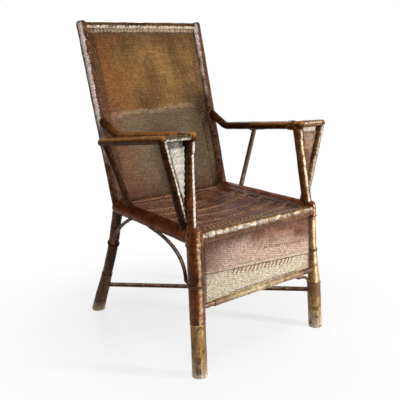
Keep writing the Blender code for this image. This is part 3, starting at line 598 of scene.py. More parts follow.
POLE = cane("wound_brown_cane", (0.026, 0.007, 0.002), (0.075, 0.023, 0.006), (0.15, 0.054, 0.013),
    blotch=30, specks=((240, 0.64, 0.72, OCHRE, 0.5), (150, 0.68, 0.78, PALE, 0.3)),
    rough=(0.14, 0.26), specular=0.05, cavity=0.3, grain=0.09, lumps=110)
RAIL_SKIN = cane("side_rail_cane", (0.054, 0.012, 0.003), (0.135, 0.034, 0.01), (0.23, 0.07, 0.022),
    blotch=26, specks=OCHRE_DOTS, rough=(0.24, 0.4), specular=0.05, cavity=0.35, grain=0.1, lumps=110)
# Stiles: a broad pale painted highlight on the faces turned to the front left, mostly on the near stile's
# upper part.
STILE_SKIN = cane("stile_cane", (0.035, 0.012, 0.005), (0.095, 0.036, 0.015), (0.18, 0.08, 0.04),
    blotch=40, specks=((120, 0.6, 0.72, (0.42, 0.28, 0.22), 0.35), (260, 0.64, 0.72, PALE, 0.4)),
    rough=(0.14, 0.3), specular=0.05, cavity=0.35, grain=0.22, lumps=150,
    painted_light=((0.8, 0.67, 0.61), 0.95, (-0.78, -0.62, 0.1), 0.86, 0.96, 0.6, 210,
    ((-0.45, 0, 0.8), 0.53, 0.72, 0.4)))
# Top rail: a pale painted highlight on its front, lower face.
TOP_SKIN = cane("top_rail_cane", (0.024, 0.01, 0.004), (0.068, 0.03, 0.01), (0.15, 0.072, 0.024),
    blotch=34, specks=((240, 0.64, 0.72, OCHRE, 0.4),), rough=(0.16, 0.3), specular=0.15, cavity=0.5,
    grain=0.16, lumps=110, painted_light=((0.76, 0.62, 0.46), 0.9, (-0.2, -0.82, -0.54), 0.8, 0.97, 0.6, 90))
# Arm poles: the upper side painted golden, a painted light on the top, most towards the front; the
# underside stays dark.
ARM_SKIN = cane("arm_cane", (0.016, 0.005, 0.002), (0.05, 0.016, 0.004), (0.1, 0.036, 0.008), blotch=28,
    specks=OCHRE_DOTS, rough=(0.2, 0.36), specular=0.03, cavity=0.3, grain=0.12, lumps=110,
    painted_light=((0.33, 0.14, 0.036), 0.9, (0, 0, 1), -0.1, 0.65, 0.9, 60, ((-0.35, -1, 0), -0.1, 0.02, 0.12)))
# Near front leg and the collars: a narrow pale painted highlight down the front.
LEG_SKIN = cane("wound_leg_cane", (0.046, 0.01, 0.003), (0.15, 0.037, 0.009), (0.29, 0.092, 0.022),
    blotch=22, specks=((260, 0.66, 0.74, OCHRE, 0.5), (170, 0.68, 0.78, PALE, 0.3)),
    rough=(0.14, 0.26), specular=0.15, cavity=0.22, grain=0.08, strands=(12, 10),
    painted_light=((0.64, 0.45, 0.29), 0.8, (-0.2, -0.98, 0), 0.945, 1.01, 0.16, 60))
# Near inner post: a pale painted highlight down its right edge.
INNER_SKIN = cane("inner_post_cane", (0.034, 0.008, 0.003), (0.092, 0.024, 0.007), (0.19, 0.062, 0.016),
    blotch=22, specks=((260, 0.64, 0.72, OCHRE, 0.5),), rough=(0.14, 0.26), specular=0.3, cavity=0.35,
    grain=0.08, painted_light=((0.78, 0.7, 0.6), 0.9, (0.45, -0.89, 0), 0.84, 0.97, 0.25, 60))
# Far inner post: a pale painted highlight down its front.
FAR_POST_SKIN = cane("golden_post_cane", (0.046, 0.014, 0.004), (0.125, 0.048, 0.013), (0.27, 0.125, 0.036),
    blotch=30, specks=WARM_DOTS, rough=(0.14, 0.28), specular=0.15, cavity=0.3, grain=0.1,
    strands=LENGTHWISE, painted_light=((0.74, 0.61, 0.41), 0.8, (-0.28, -0.96, 0), 0.94, 1, 0.2, 60))
FAR_STRUT_SKIN = cane("pale_strut_cane", (0.055, 0.026, 0.012), (0.14, 0.08, 0.042), (0.27, 0.18, 0.105),
    blotch=34, specks=((180, 0.58, 0.68, PALE, 0.5),), rough=(0.2, 0.4), specular=0.15)
# Near outer post: a thin pale painted highlight down its right front edge.
OUTER_SKIN = cane("outer_post_cane", (0.016, 0.005, 0.0015), (0.045, 0.014, 0.004), (0.1, 0.036, 0.01),
    specks=RICH_DOTS, specular=0.04, grain=0.1,
    painted_light=((0.72, 0.65, 0.56), 0.75, (0.22, -0.97, 0), 0.93, 0.99, 0.2, 60), **POST)
STRUT_SKIN = cane("dark_strut_cane", (0.014, 0.005, 0.002), (0.042, 0.014, 0.004), (0.1, 0.036, 0.01),
    specks=RICH_DOTS, specular=0.05, **POST)
# Rear legs: one side painted near black, a painted shade.
REAR_LEG_SKIN = cane("rear_leg_cane", (0.026, 0.008, 0.003), (0.085, 0.026, 0.008), (0.17, 0.062, 0.018),
    specks=RICH_DOTS, specular=0.1, grain=0.1,
    painted_light=((0.01, 0.004, 0.002), 0.85, (0.62, -0.78, 0), 0.25, 0.8, 0.3, 40), **POST)
# Far outer post: a pale painted highlight down its front.
FAR_OUTER_SKIN = cane("far_outer_post_cane", (0.045, 0.018, 0.007), (0.13, 0.058, 0.026),
    (0.26, 0.14, 0.075), specks=WARM_DOTS, specular=0.15, grain=0.1,
    painted_light=((0.6, 0.48, 0.38), 0.55, (-0.2, -0.98, 0), 0.88, 1, 0.5, 90), **POST)
# Far front leg: golden cane with a bright painted highlight down its front.
GOLDEN_LEG_SKIN = cane("golden_leg_cane", (0.11, 0.042, 0.012), (0.28, 0.14, 0.046), (0.52, 0.33, 0.145),
    blotch=24, stretch=(1, 1, 0.4), specks=((180, 0.6, 0.7, PALE, 0.5),), rough=(0.14, 0.28),
    specular=0.2, cavity=0.3, grain=0.1, strands=LENGTHWISE,
    painted_light=((0.84, 0.7, 0.46), 0.9, (-0.36, -0.93, 0), 0.92, 1.01, 0.25, 50))
# Front roll and far arm bar: a pale painted highlight along the upper front.
ROLL_SKIN = cane("front_roll_cane", (0.05, 0.016, 0.004), (0.125, 0.05, 0.013), (0.26, 0.13, 0.04),
    specular=0.25, painted_light=((0.72, 0.6, 0.42), 0.85, (-0.1, -0.8, 0.6), 0.93, 1.02, 0.3, 70), **ROLLED)
# Near arm's front bar: a white painted highlight along its lower front edge.
BAR_SKIN = cane("arm_bar_cane", (0.04, 0.024, 0.009), (0.095, 0.063, 0.026), (0.19, 0.14, 0.07),
    specular=0.05, painted_light=((0.74, 0.68, 0.6), 0.9, (-0.2, -0.92, -0.35), 0.9, 0.99, 0.3, 70), **ROLLED)
FOOT_SKIN = cane("worn_foot_cane", (0.066, 0.026, 0.007), (0.27, 0.145, 0.044), (0.54, 0.36, 0.155),
    specular=0.15, tints=(((1, 0, 0), 0.1, 0.2, (0.6, 0.43, 0.2), 0.35, 0.05, 26),
    ((0, 0, 1), 0.075, 0.01, (0.44, 0.34, 0.25), 0.8, 0.09, 26),
    ((0, 0, 1), 0.022, 0, (0.62, 0.53, 0.4), 0.8, 0.03, 40),
    ((0.25, 0, 1), 0.14, 0.19, (0.115, 0.038, 0.014), 0.85, 0.08, 26)),
    specks=((48, 0.53, 0.68, (0.08, 0.032, 0.01), 0.7), (180, 0.62, 0.72, PALE, 0.4)), **FOOT_WRAP)
REAR_FOOT_SKIN = cane("dark_foot_cane", (0.02, 0.007, 0.003), (0.075, 0.03, 0.012), (0.19, 0.105, 0.055),
    specular=0.12, tints=(((0, 0, 1), 0.05, 0.005, (0.44, 0.36, 0.25), 0.85, 0.05, 24),),
    specks=((180, 0.62, 0.72, PALE, 0.4),), **FOOT_WRAP)
# Seat: pale painted highlights on the front slopes of its folds; painted shade in the valleys comes from
# the weave's shade.
SEAT_SKIN = cane("seat_cane", (0.055, 0.013, 0.004), (0.16, 0.05, 0.019), (0.31, 0.122, 0.046), blotch=17,
    specks=((300, 0.64, 0.71, OCHRE, 0.8),), rough=(0.2, 0.34), specular=0.1, cavity=0.55, strands=WOVEN,
    band=(0.08, 0.027, 0.01), tints=(((0, 1, 0), -0.19, -0.25, (0.135, 0.066, 0.02), 0.6, 0.05, 20),),
    painted_light=((0.52, 0.32, 0.22), 0.8, (0.1, -0.42, 0.9), 0.97, 1, 0.12, 80))
WEB_SKIN = cane("arm_web_cane", (0.05, 0.02, 0.005), (0.13, 0.06, 0.016), (0.24, 0.125, 0.038), blotch=20,
    specks=((300, 0.62, 0.7, OCHRE, 0.6),), rough=(0.3, 0.45), specular=0.12, strands=WOVEN)
# Back: ochre above and grey brown below, the grey partly its own tone and partly a painted sheen.
# Pale painted highlights just under the line between the tones and on the top border; painted shade low
# towards the far stile and along the bottom by the seat.
BACK_SKIN = cane("back_cane", (0.08, 0.036, 0.01), (0.172, 0.085, 0.025), (0.33, 0.175, 0.055), blotch=13,
    stretch=(1, 1, 0.45), rough=(0.45, 0.65), specular=0.1, cavity=0.3, strands=WOVEN,
    band=(0.04, 0.018, 0.007), specks=((320, 0.6, 0.7, (0.42, 0.26, 0.09), 0.6),
    (120, 0.56, 0.7, (0.045, 0.022, 0.01), 0.5)),
    tints=(((1, 0, 0.2), 0.14, -0.02, (0.205, 0.072, 0.016), 0.75, 0.34, 11),
    ((-0.055, 0, 1), 0.741, 0.73, (0.3, 0.21, 0.12), 0.75, 0.06, 26),
    ((-0.055, 0, 1), 0.728, 0.713, (0.135, 0.09, 0.052), 0.9, 0.06, 26),
    ((1, 0, 0.3), 0.1, -0.04, (0.17, 0.06, 0.03), 0.7, 0.08, 18),
    ((1, 0, -0.3), -0.12, -0.01, (0.056, 0.032, 0.015), 0.35, 0.12, 16),
    ((0, 0, 1), 0.9, 1, (0.085, 0.032, 0.01), 0.7, 0.09, 16),
    ((0, 0, 1), 0.54, 0.43, (0.085, 0.03, 0.012), 0.7, 0.05, 20),
    ((-0.022, 0, 1), 0.9935, 1.0005, (0.6, 0.46, 0.33), 0.6, 0.02, 70)))
# Apron: a pale pink painted sheen in the middle, painted shade along its top under the front roll, and a
# band of painted shade under the seam's lap and beside the legs.
APRON_SKIN = cane("apron_cane", (0.085, 0.024, 0.01), (0.18, 0.066, 0.034), (0.36, 0.18, 0.115),
    blotch=16, rough=(0.3, 0.5), specular=0.08, cavity=0.45, strands=(130, 330), strand_depth=0.55,
    specks=((70, 0.55, 0.7, (0.26, 0.155, 0.085), 0.5), (260, 0.58, 0.7, (0.12, 0.048, 0.024), 0.45),
    (200, 0.62, 0.72, (0.6, 0.48, 0.4), 0.3)), band=(0.06, 0.012, 0.006),
    tints=(((0.16, 0, 1), 0.388, 0.322, (0.57, 0.405, 0.315), 0.82, 0.1, 20),
    ((0.074, 0, 1), 0.312, 0.258, (0.62, 0.535, 0.395), 0.85, 0.06, 30),
    ((0.45, 0, 1), 0.135, 0.085, (0.2, 0.12, 0.06), 0.7, 0.06, 24),
    ((-0.8, 0, 1), 0.105, 0.03, (0.34, 0.235, 0.135), 0.65, 0.08, 30),
    ((-1, 0, 1.3), 0.52, 0.7, (0.095, 0.022, 0.009), 0.9, 0.1, 18),
    ((0, 0, 1), 0.362, 0.394, (0.105, 0.036, 0.018), 0.7, 0.03, 30)))
APRON_ROLL_SKIN = cane("apron_roll_cane", (0.13, 0.074, 0.025), (0.34, 0.24, 0.112), (0.6, 0.49, 0.3),
    blotch=26, rough=(0.2, 0.4), specular=0.25, cavity=0.3, strands=(60, 20),
    tints=(((1, 0, 0), 0.05, 0.16, (0.17, 0.085, 0.034), 0.7, 0.08, 20),
    ((1, 0, 0), -0.09, -0.16, (0.15, 0.072, 0.024), 0.85, 0.06, 20)))
# Arm panels: the near one pale, partly its own colour and partly a painted highlight, with a band of
# painted shade in its recessed rims; the far one brown, with a pale painted highlight on its rims.
PANEL_SKIN = {"right": cane("pale_panel_cane", (0.22, 0.17, 0.115), (0.55, 0.49, 0.4), (0.78, 0.73, 0.64),
    blotch=24, rough=(0.18, 0.32), specular=0.1, cavity=0.35, strands=WOVEN, band=(0.018, 0.007, 0.003)),
    "left": cane("brown_panel_cane", (0.07, 0.026, 0.011), (0.17, 0.074, 0.035), (0.36, 0.21, 0.12),
    blotch=24, rough=(0.22, 0.4), specular=0.2, cavity=0.35, strands=WOVEN, band=(0.62, 0.5, 0.39))}
# Bare canes: a pale painted highlight along their upper front.
BARE = cane("bare_cane", (0.03, 0.009, 0.004), (0.09, 0.03, 0.012), (0.18, 0.076, 0.034), blotch=18,
    specular=0.12, painted_light=((0.56, 0.4, 0.3), 0.8, (-0.42, -0.52, 0.74), 0.8, 0.98, 0.5, 40), **BARE_POLE)
GOLDEN = cane("golden_cane", (0.06, 0.024, 0.006), (0.16, 0.08, 0.024), (0.34, 0.2, 0.075), blotch=30,
    specular=0.3, **BARE_POLE)
COPPER = cane("copper_cane", (0.05, 0.014, 0.006), (0.12, 0.038, 0.013), (0.26, 0.105, 0.04), specular=0.3)
THREAD = cane("stitch_cane", (0.2, 0.12, 0.07), (0.38, 0.26, 0.17), (0.58, 0.44, 0.32), rough=(0.35, 0.55),
    specular=0.2)
DULL_THREAD = cane("dull_stitch_cane", (0.09, 0.04, 0.013), (0.18, 0.088, 0.032), (0.3, 0.17, 0.075),
    specular=0.2)
DARK_THREAD = cane("dark_stitch_cane", (0.02, 0.008, 0.004), (0.04, 0.016, 0.008), (0.07, 0.03, 0.015),
    specular=0.2)
STROKE_THREAD = cane("red_stitch_cane", (0.12, 0.032, 0.015), (0.22, 0.07, 0.036), (0.32, 0.125, 0.07),
    specular=0.1)
ROSE_THREAD = cane("rose_stitch_cane", (0.14, 0.052, 0.03), (0.24, 0.105, 0.07), (0.38, 0.2, 0.145),
    specular=0.1)
OCHRE_THREAD = cane("ochre_stitch_cane", (0.44, 0.23, 0.06), (0.68, 0.4, 0.12), (0.84, 0.58, 0.24),
    specular=0.2)
CORE = cane("rattan_core", (0.06, 0.024, 0.01), (0.12, 0.05, 0.02), (0.2, 0.09, 0.04), coat=0.2)
LEG_SKINS = {"left": GOLDEN_LEG_SKIN, "right": LEG_SKIN}
POST_SKINS = {"left": FAR_POST_SKIN, "right": INNER_SKIN}
OUTER_SKINS = {"left": FAR_OUTER_SKIN, "right": OUTER_SKIN}
BAR_SKINS = {"left": ROLL_SKIN, "right": BAR_SKIN}
STRUT_SKINS = {"left": FAR_STRUT_SKIN, "right": STRUT_SKIN}
BINDING = {"front_cord_left": GOLDEN, "front_cord_right": COPPER, "rear_cord_left": POLE,
    "rear_cord_right": POLE}

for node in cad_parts.values():
    node.data.materials.clear()
    node.data.materials.append(CORE)

# Legs, feet and stiles
paths = {}
STILE_FOOT = v3(REAR_X, REAR_Y, REAR_Z)
back_tops = {-1: side_of(BACK_TOP, -1), 1: at_z(STILE_FOOT, np.array(BACK_TOP), BACK_TOP[2] + BACK_TILT)}
LEG_FORM = {"left": (LEG_SLIM_Z, LEG_SLIM), "right": (LEG_STOUT_Z, LEG_STOUT)}


def stand(piece):
    """Trim a foot level, just above the floor."""
    flat = np.empty(len(piece.data.vertices) * 3, np.float32)
    piece.data.vertices.foreach_get("co", flat)
    flat[2::3] = np.maximum(flat[2::3], FLOOR_GAP)
    piece.data.vertices.foreach_set("co", flat)
    return piece


for side, tag in SIDES:
    foot, joint = side_of(FRONT_FOOT, side), v3(side * FRONT_X, FRONT_Y, SEAT_Z)
    low, high = at_z(foot, joint, FLOOR_GAP), at_z(foot, joint, FOOT_TOP + 0.002)
    foot_length = np.linalg.norm(high - low)

    def foot_radius(s, length=foot_length):
        rim = 0.001 * smooth((s - (length - 0.006)) / 0.002) * smooth((length - s) / 0.0015)
        flare = 0.0006 * smooth(1 - s / 0.012)
        return FOOT - 0.0004 + flare + rim - 0.0012 * smooth((s - length + 0.0016) / 0.0016)

    put(stand(sweep("front_foot_skin_" + tag, [low, high], lapped(foot_radius, 0.0009, 0.62, 11 + side),
        FOOT_SKIN, 0.0015, 48)), "worn_cane", "front_foot_wrap_" + tag)
    base = at_z(foot, joint, FOOT_TOP - 0.004)
    top = at_z(foot, joint, COLLAR_LOW + 0.004)
    leg_length = np.linalg.norm(top - base)

    def leg_radius(s, form=LEG_FORM[tag], length=leg_length):
        z = FOOT_TOP - 0.004 + s * (COLLAR_LOW + 0.008 - FOOT_TOP) / length
        return mix(LEG, form[1], np.clip((z - FOOT_TOP) / (form[0] - FOOT_TOP), 0, 1)) - 0.0002

    wound = taped(leg_radius, 0.018, 0.00025, -1, 0.07, 21 + side, 0.0006)
    if tag == "left":
        wound = lapped(leg_radius, 0.0006, 0.3, 21 + side, 0.0007)
    put(sweep("front_leg_skin_" + tag, [base, top], wound, LEG_SKINS[tag], 0.0012, 44), BROWN,
        "front_leg_wrap_" + tag)
    base, top = at_z(foot, joint, COLLAR_LOW), at_z(foot, joint, COLLAR_HIGH + 0.002)
    fat = 0.0261 if tag == "right" else 0.0153
    collar_length = np.linalg.norm(top - base)

    def collar_radius(s, fat=fat, length=collar_length):
        return fat * (1 - 0.2 * smooth((s / length - 0.5) / 0.5)) - 0.0003

    put(sweep("leg_corner_skin_" + tag, [base, top], taped(collar_radius, 0.0165, 0.0007, 1, 0.1, 31 + side,
        0.0011), LEG_SKIN, 0.001, 40, domes=(0.0015, 0.01)), BROWN, "leg_collar_" + tag)
    turn = TAU * np.arange(22) / 22
    ring = np.stack([np.cos(turn), np.sin(turn), 0 * turn], -1)
    places = at_z(foot, joint, COLLAR_LOW + 0.006) + ring * (fat + 0.0001)
    sew("collar_stitches_" + tag, places, ring, ring[:, [1, 0, 2]] * (-0.5, 0.5, 0) + v3(0, 0, 1), 0.006,
        0.0009, 0.0009, DULL_THREAD)

    foot = side_of(REAR_FOOT, side)
    joint = side_of(STILE_FOOT, side)
    share = np.linspace(0, 0.76, 12)
    bows = [v3(0, REAR_BOW * math.sin(math.pi * x**BOW_RISE), 0) for x in share]
    leg = mix(foot, joint, share[:, None]) - bows
    post = np.vstack([leg[:-1], corner(leg[-1], joint, back_tops[side], 0.05)])
    post = longer(post, 0, KNOB + 0.002)
    paths["post_" + tag] = post
    rear_low = portion(post, 2, FLOOR_GAP, FOOT_TOP + 0.002)
    rear_low[0, 2] = FLOOR_GAP
    span_low = distances(rear_low)[-1]

    def rear_radius(s, length=span_low):
        rim = 0.0008 * smooth((s - (length - 0.006)) / 0.002)
        return mix(REAR_FOOT_LOW, 0.0184, np.clip(s / length, 0, 1)) + rim

    put(stand(sweep("rear_foot_skin_" + tag, rear_low, lapped(rear_radius, 0.0009, 0.3, 41 + side),
        REAR_FOOT_SKIN, 0.0015, 40)), "worn_cane", "rear_foot_wrap_" + tag)
    put(sweep("rear_leg_skin_" + tag, portion(post, 2, FOOT_TOP - 0.003, REAR_WRAP_TOP + 0.004),
        taped(STILE + 0.0003, 0.017, 0.0004, 1, 0.08, 51 + side, 0.0008), REAR_LEG_SKIN, 0.0012, 36), BROWN,
        "rear_leg_wrap_" + tag)
    put(sweep("stile_skin_" + tag, portion(post, 2, REAR_WRAP_TOP - 0.002, post[-1][2]),
        taped(STILE, 0.0068, 0.00016, side, 0.15, 61 + side, 0.0008), STILE_SKIN, 0.001, 40,
        domes=(0, 0.009)), BROWN)

# Back: sheet between the stiles with a border on three sides, roll on the top rail
low_end = at_z(STILE_FOOT, np.array(BACK_TOP), REAR_Z + CROSS / 2)
height = np.linalg.norm(np.array(BACK_TOP) - low_end)
slope = unit(np.cross(v3(1, 0, 0), np.array(BACK_TOP) - low_end)) * -1
tuck = 0.0125
TUCK_STEP = 0.0135
m, n = weave_steps(low_end[0] + BACK_TOP[0] - 2 * tuck, height)
u, v = np.meshgrid(np.linspace(-1, 1, m), np.linspace(0, 1, n))
axis_half = mix(low_end[0], BACK_TOP[0], v)
x = u * (axis_half - tuck)
share = (x / axis_half + 1) / 2
top_row = mix(back_tops[-1], back_tops[1], share[:, :, None])
low_row = mix(side_of(low_end, -1), low_end, share[:, :, None])
base = mix(low_row, top_row, v[:, :, None])
depth = BACK_HOLLOW * np.sin(np.pi * share) * np.sin(np.pi * v)
depth = depth + BACK_WAVE * np.sin(TAU * (1.1 * share + 0.15)) * np.sin(TAU * (2.1 * v + 0.3))
base = base + slope * depth[:, :, None]
beside = 1 - smooth((axis_half - np.abs(x) - BACK_BORDER + HEM) / HEM)
under = 1 - smooth(((1 - v) * height - BACK_TOP_BORDER + HEM) / HEM)
border = np.maximum(beside, under)
extra = BORDER_RISE * border + 0.0005 * ripple(u * 9, v * 12, 3)
extra = extra + 0.001 * under * np.cos(TAU * x / TUCK_STEP)
# Painted shade in the folds between the tucks of the top border.
painted_tuck_shade = under * smooth((-0.35 - np.cos(TAU * x / TUCK_STEP + 2 * ripple(x * 60, 0 * x, 8))) / 0.5)
# Painted shadow beside the far stile, at the line between the tones and lower down.
painted_shadow = 1.5 * bump(base[:, :, 0], 0.21, 0.045) * bump(base[:, :, 2], 0.735, 0.055)
painted_shadow = painted_shadow + 0.4 * bump(base[:, :, 0], 0.205, 0.06) * bump(base[:, :, 2], 0.5, 0.085)
# The groove inside the border: dented, and painted dark as shade.
groove = bump(axis_half - np.abs(x), BACK_BORDER, 0.0022)
groove = np.maximum(groove, bump((1 - v) * height, BACK_TOP_BORDER, 0.0022))
# Band: dark border strips, partly their own colour and partly painted shade, deeper beside the near stile;
# painted shade in the groove, between the tucks, by the far stile and along the bottom by the seat.
put(woven("back_weave", base, (u + 1) * low_end[0], v * n / ROW_STEPS * WEAVER, BACK_SKIN,
    extra - 0.0008 * groove, band=np.maximum.reduce([mix(0.8, 0.45, share) * beside, groove, painted_tuck_shade, painted_shadow,
    bump(v * height, 0.01, 0.006)])), "ochre_woven_cane", "back_cover")
put(sweep("top_rail_skin", [back_tops[-1], back_tops[1]], taped(TOP, 0.013, 0.0005, 1, 0.1, 71, 0.0007),
    TOP_SKIN, 0.0011, 32, (0, 0, 1)), BROWN)

# Whip stitches along the borders of the back, many of them worn away
step = 0.0145
loss = np.random.default_rng(17)


def kept(values, share):
    """Some of the values, each moved a little."""
    values = values + loss.normal(0, 0.06, len(values)) * (values[1] - values[0])
    return values[loss.uniform(0, 1, len(values)) < share]


for side, tag in SIDES:
    along = kept(np.arange(0.03 * height, 0.955 * height, step) / height, 0.7)
    half = mix(low_end[0], BACK_TOP[0], along)
    across = side * (half - BACK_BORDER + HEM) / (half - tuck)
    places, out = spots("back_weave", (across + 1) / 2, along)
    sew("back_stitches_" + tag, places, out, v3(side * 0.8, 0.1, 0.6), 0.0085, 0.001, 0.001, DULL_THREAD)
across = kept(np.arange(-0.19, 0.19, step) / (BACK_TOP[0] - tuck), 0.6)
places, out = spots("back_weave", (across + 1) / 2, across * 0 + 1 - (BACK_TOP_BORDER - HEM) / height)
sew("back_stitches_top", places, out, v3(0.8, 0.2, 0.5), 0.01, 0.001, 0.001, THREAD)

# Seat: front roll and sagging sheet in one weave, with folds across it and a border on each side
roll = CROSS
start_angle, end_angle = math.radians(292), math.radians(90)
roll_length = roll * (start_angle - end_angle)
deep = REAR_Y - 0.004 - FRONT_Y
seat_tuck = 0.0145
m, n = weave_steps(2 * (FRONT_X - seat_tuck), roll_length + deep)
along = np.linspace(0, 1, n) * (roll_length + deep)
angle = mix(start_angle, end_angle, np.clip(along / roll_length, 0, 1))
u, run = np.meshgrid(np.linspace(-1, 1, m), np.clip(along - roll_length, 0, None))
angle = np.repeat(angle[:, None], m, 1)
y = FRONT_Y + np.where(run > 0, run, roll * np.cos(angle))
v = np.clip((y - FRONT_Y) / (REAR_Y - FRONT_Y), 0, 1)
axis_half = mix(FRONT_X, REAR_X, v)
x = u * (axis_half - seat_tuck)
share = (x / axis_half + 1) / 2
sheet_z = mix(SEAT_Z, REAR_Z, v) + 0.0062 - SEAT_SAG * np.sin(np.pi * share) * np.sin(np.pi * v)
z_run = mix(SEAT_Z + roll, sheet_z, smooth(run / 0.034))
z_run = mix(z_run, REAR_Z + 0.0125, smooth((y - (REAR_Y - 0.03)) / 0.024))
z_run = z_run + BORDER_LIFT * smooth((0.05 - axis_half + np.abs(x)) / 0.034) * smooth(run / 0.05)
z = np.where(run > 0, z_run, SEAT_Z + roll * np.sin(angle))
base = np.stack([x, y, z], -1)


def fold_line(number, share):
    """Distance of a fold behind the front rail."""
    return SEAT_FOLDS[number] + FOLD_SWAY * np.sin(TAU * (1.3 * share + 0.37 * number))


folds = 0.0
for number in range(len(SEAT_FOLDS)):
    behind = run - fold_line(number, share)
    form = smooth(1 + behind / FOLD_FRONT) * (1 - smooth(behind / FOLD_REAR))
    folds = folds + FOLD_RISE * form * (0.8 + 0.3 * ripple(x * 12, x * 0, 90 + number))
border = 1 - smooth((axis_half - np.abs(x) - SEAT_BORDER + HEM) / HEM)
border = border * smooth((run - 0.012) / 0.01)
extra = mix(folds, BORDER_RISE, border) + 0.0008 * ripple(x * 40, y * 30, 5) * smooth(run / 0.034)
put(woven("seat_weave", base, (u + 1) * (FRONT_X - seat_tuck), np.repeat(along[:, None], m, 1), SEAT_SKIN,
    extra, band=border, shade=mix(mix(0.55, 1.0, np.clip(folds / FOLD_RISE, 0, 1)), 0.8, border)), BROWN,
    "seat_cover")
ends = [v3(-FRONT_X + 0.018, FRONT_Y, SEAT_Z), v3(FRONT_X - 0.009, FRONT_Y, SEAT_Z)]
put(sweep("front_rail_skin", ends, taped(CROSS + 0.003, 0.0276, 0.0005, 1, 0.06, 95, 0.0012), ROLL_SKIN,
    0.0011, 40, (0, 0, 1)), BROWN)
for side, tag in SIDES:
    ends = [v3(side * FRONT_X, FRONT_Y, SEAT_Z + SIDE_RISE), v3(side * REAR_X, REAR_Y, REAR_Z + SIDE_RISE)]
    put(sweep("side_rail_skin_" + tag, longer(ends, -0.004, -0.002),
        lapped(SIDE, 0.0006, 0.25, 101 + side, 0.0009), RAIL_SKIN, 0.0011, 44, (0, 0, 1)), BROWN)
ends = [v3(-REAR_X, REAR_Y, REAR_Z), v3(REAR_X, REAR_Y, REAR_Z)]
put(sweep("rear_rail_skin", ends, taped(CROSS, 0.011, 0.0006, 1, 0.1, 111), POLE, 0.0011, 32, (0, 0, 1)),
    BROWN)

# Stitches of the seat: along the folds, along the borders and in two rows behind the front roll
total = roll_length + deep
own = np.random.default_rng(31)
rows = {"pale": [], "ochre": [], "front": []}
for number in range(len(SEAT_FOLDS)):
    share = np.arange(0.12, 0.88, 0.026) + own.normal(0, 0.003, len(np.arange(0.12, 0.88, 0.026)))
    share = share[own.uniform(0, 1, len(share)) > 0.35]
    rows["ochre" if number % 2 else "pale"].append((share, fold_line(number, share) - 0.002))
for number, distance in enumerate((0.026, 0.048)):
    share = np.arange(0.08 + 0.018 * number, 0.9 - 0.25 * number, 0.036)
    rows["front"].append((share, distance + 0 * share))
threads = {"pale": (THREAD, 0.0016), "ochre": (OCHRE_THREAD, 0.0016), "front": (OCHRE_THREAD, 0.0021)}
for shade, (thread, thick) in threads.items():
    share = np.concatenate([r[0] for r in rows[shade]])
    distance = np.concatenate([r[1] for r in rows[shade]])
    places, out = spots("seat_weave", share, (roll_length + distance) / total)
    sew("seat_stitches_" + shade, places, out, v3(0.25, 1, 0), 0.0095, thick, thick - 0.0002, thread)
for side, tag in SIDES:
    distance = np.arange(0.03, 0.375, 0.0095)
    half = mix(FRONT_X, REAR_X, distance / (REAR_Y - FRONT_Y))
    across = side * (half - SEAT_BORDER + HEM) / (half - seat_tuck)
    places, out = spots("seat_weave", (across + 1) / 2, (roll_length + distance) / total)
    sew("seat_border_stitches_" + tag, places, out, v3(side * 0.8, 0.6, 0), 0.01, 0.001, 0.0011, THREAD)
# A cord along the crease between seat and back, made near black as painted shade in the crease.
share = np.linspace(0.005, 0.995, 60)
places, out = spots("seat_weave", share, 0 * share + 1 - 0.018 / total)
put(sweep("seat_crease_cord", places + out * 0.0012, corded(0.0019, 0.006, 0.0005), DARK_THREAD, 0.0015, 10,
    (0, 0, 1)), "cord")
lip = math.radians(226)
places = np.array([v3(s * (FRONT_X - 0.026), FRONT_Y + (roll + 0.003) * math.cos(lip),
    SEAT_Z + (roll + 0.003) * math.sin(lip)) for s in np.linspace(-1, 1, 12)])
put(sweep("apron_piping", places, corded(0.0019, 0.006, 0.0005), COPPER, 0.0015, 10, (0, 0, 1),
    (0.0015, 0.0015)), "cord")

# Apron: sheet from the front roll to its own roll, with a lapped seam that slants
leg_foot, leg_joint = np.array(FRONT_FOOT), v3(FRONT_X, FRONT_Y, SEAT_Z)
rail_end = at_z(leg_foot, leg_joint, APRON_Z)
high_end = at_z(leg_foot, leg_joint, SEAT_Z - CROSS / 2)
tall = np.linalg.norm(high_end - rail_end)
wide = 2 * high_end[0] - APRON_EDGES["right"][0] - APRON_EDGES["left"][0]
m, n = weave_steps(wide, tall)
u, v = np.meshgrid(np.linspace(-1, 1, m), np.linspace(0, 1, n))
edges = [mix(high_end[0] - APRON_EDGES[tag][0], rail_end[0] - APRON_EDGES[tag][1], v)
    for tag in ("right", "left")]
x = mix(-edges[0], edges[1], (u + 1) / 2)
base = np.stack([x, mix(high_end[1], rail_end[1], v), mix(high_end[2], rail_end[2], v)], -1)
SEAM_Z, SEAM_SLANT = 0.283, 0.017
seam_z = SEAM_Z - SEAM_SLANT * u
down = seam_z - base[:, :, 2]
lap = 0.0024 * smooth(1 - down / 0.0025) * np.exp(np.clip(down, -1, 0) / 0.06)
lap = lap + 0.0006 * bump(down, 0.0, 0.003)
extra = lap - 0.001 * bump(down, 0.004, 0.002) + 0.001 * ripple(u * 7, v * 4, 15)
extra = extra + 0.0018 * bump(base[:, :, 2], 0.352 - 0.004 * u, 0.004) * smooth((u + 0.2) / 0.5)
# Band: painted shade under the lap of the seam and in the gaps beside the legs.
put(woven("apron_weave", base, (u + 1) * wide / 2, v * n / ROW_STEPS * WEAVER, APRON_SKIN, extra, flip=True,
    band=np.maximum(1.3 * bump(down, 0.001, 0.0018), smooth((np.abs(u - 0.012) - 0.96) / 0.02))),
    "pale_woven_cane", "apron_cover")

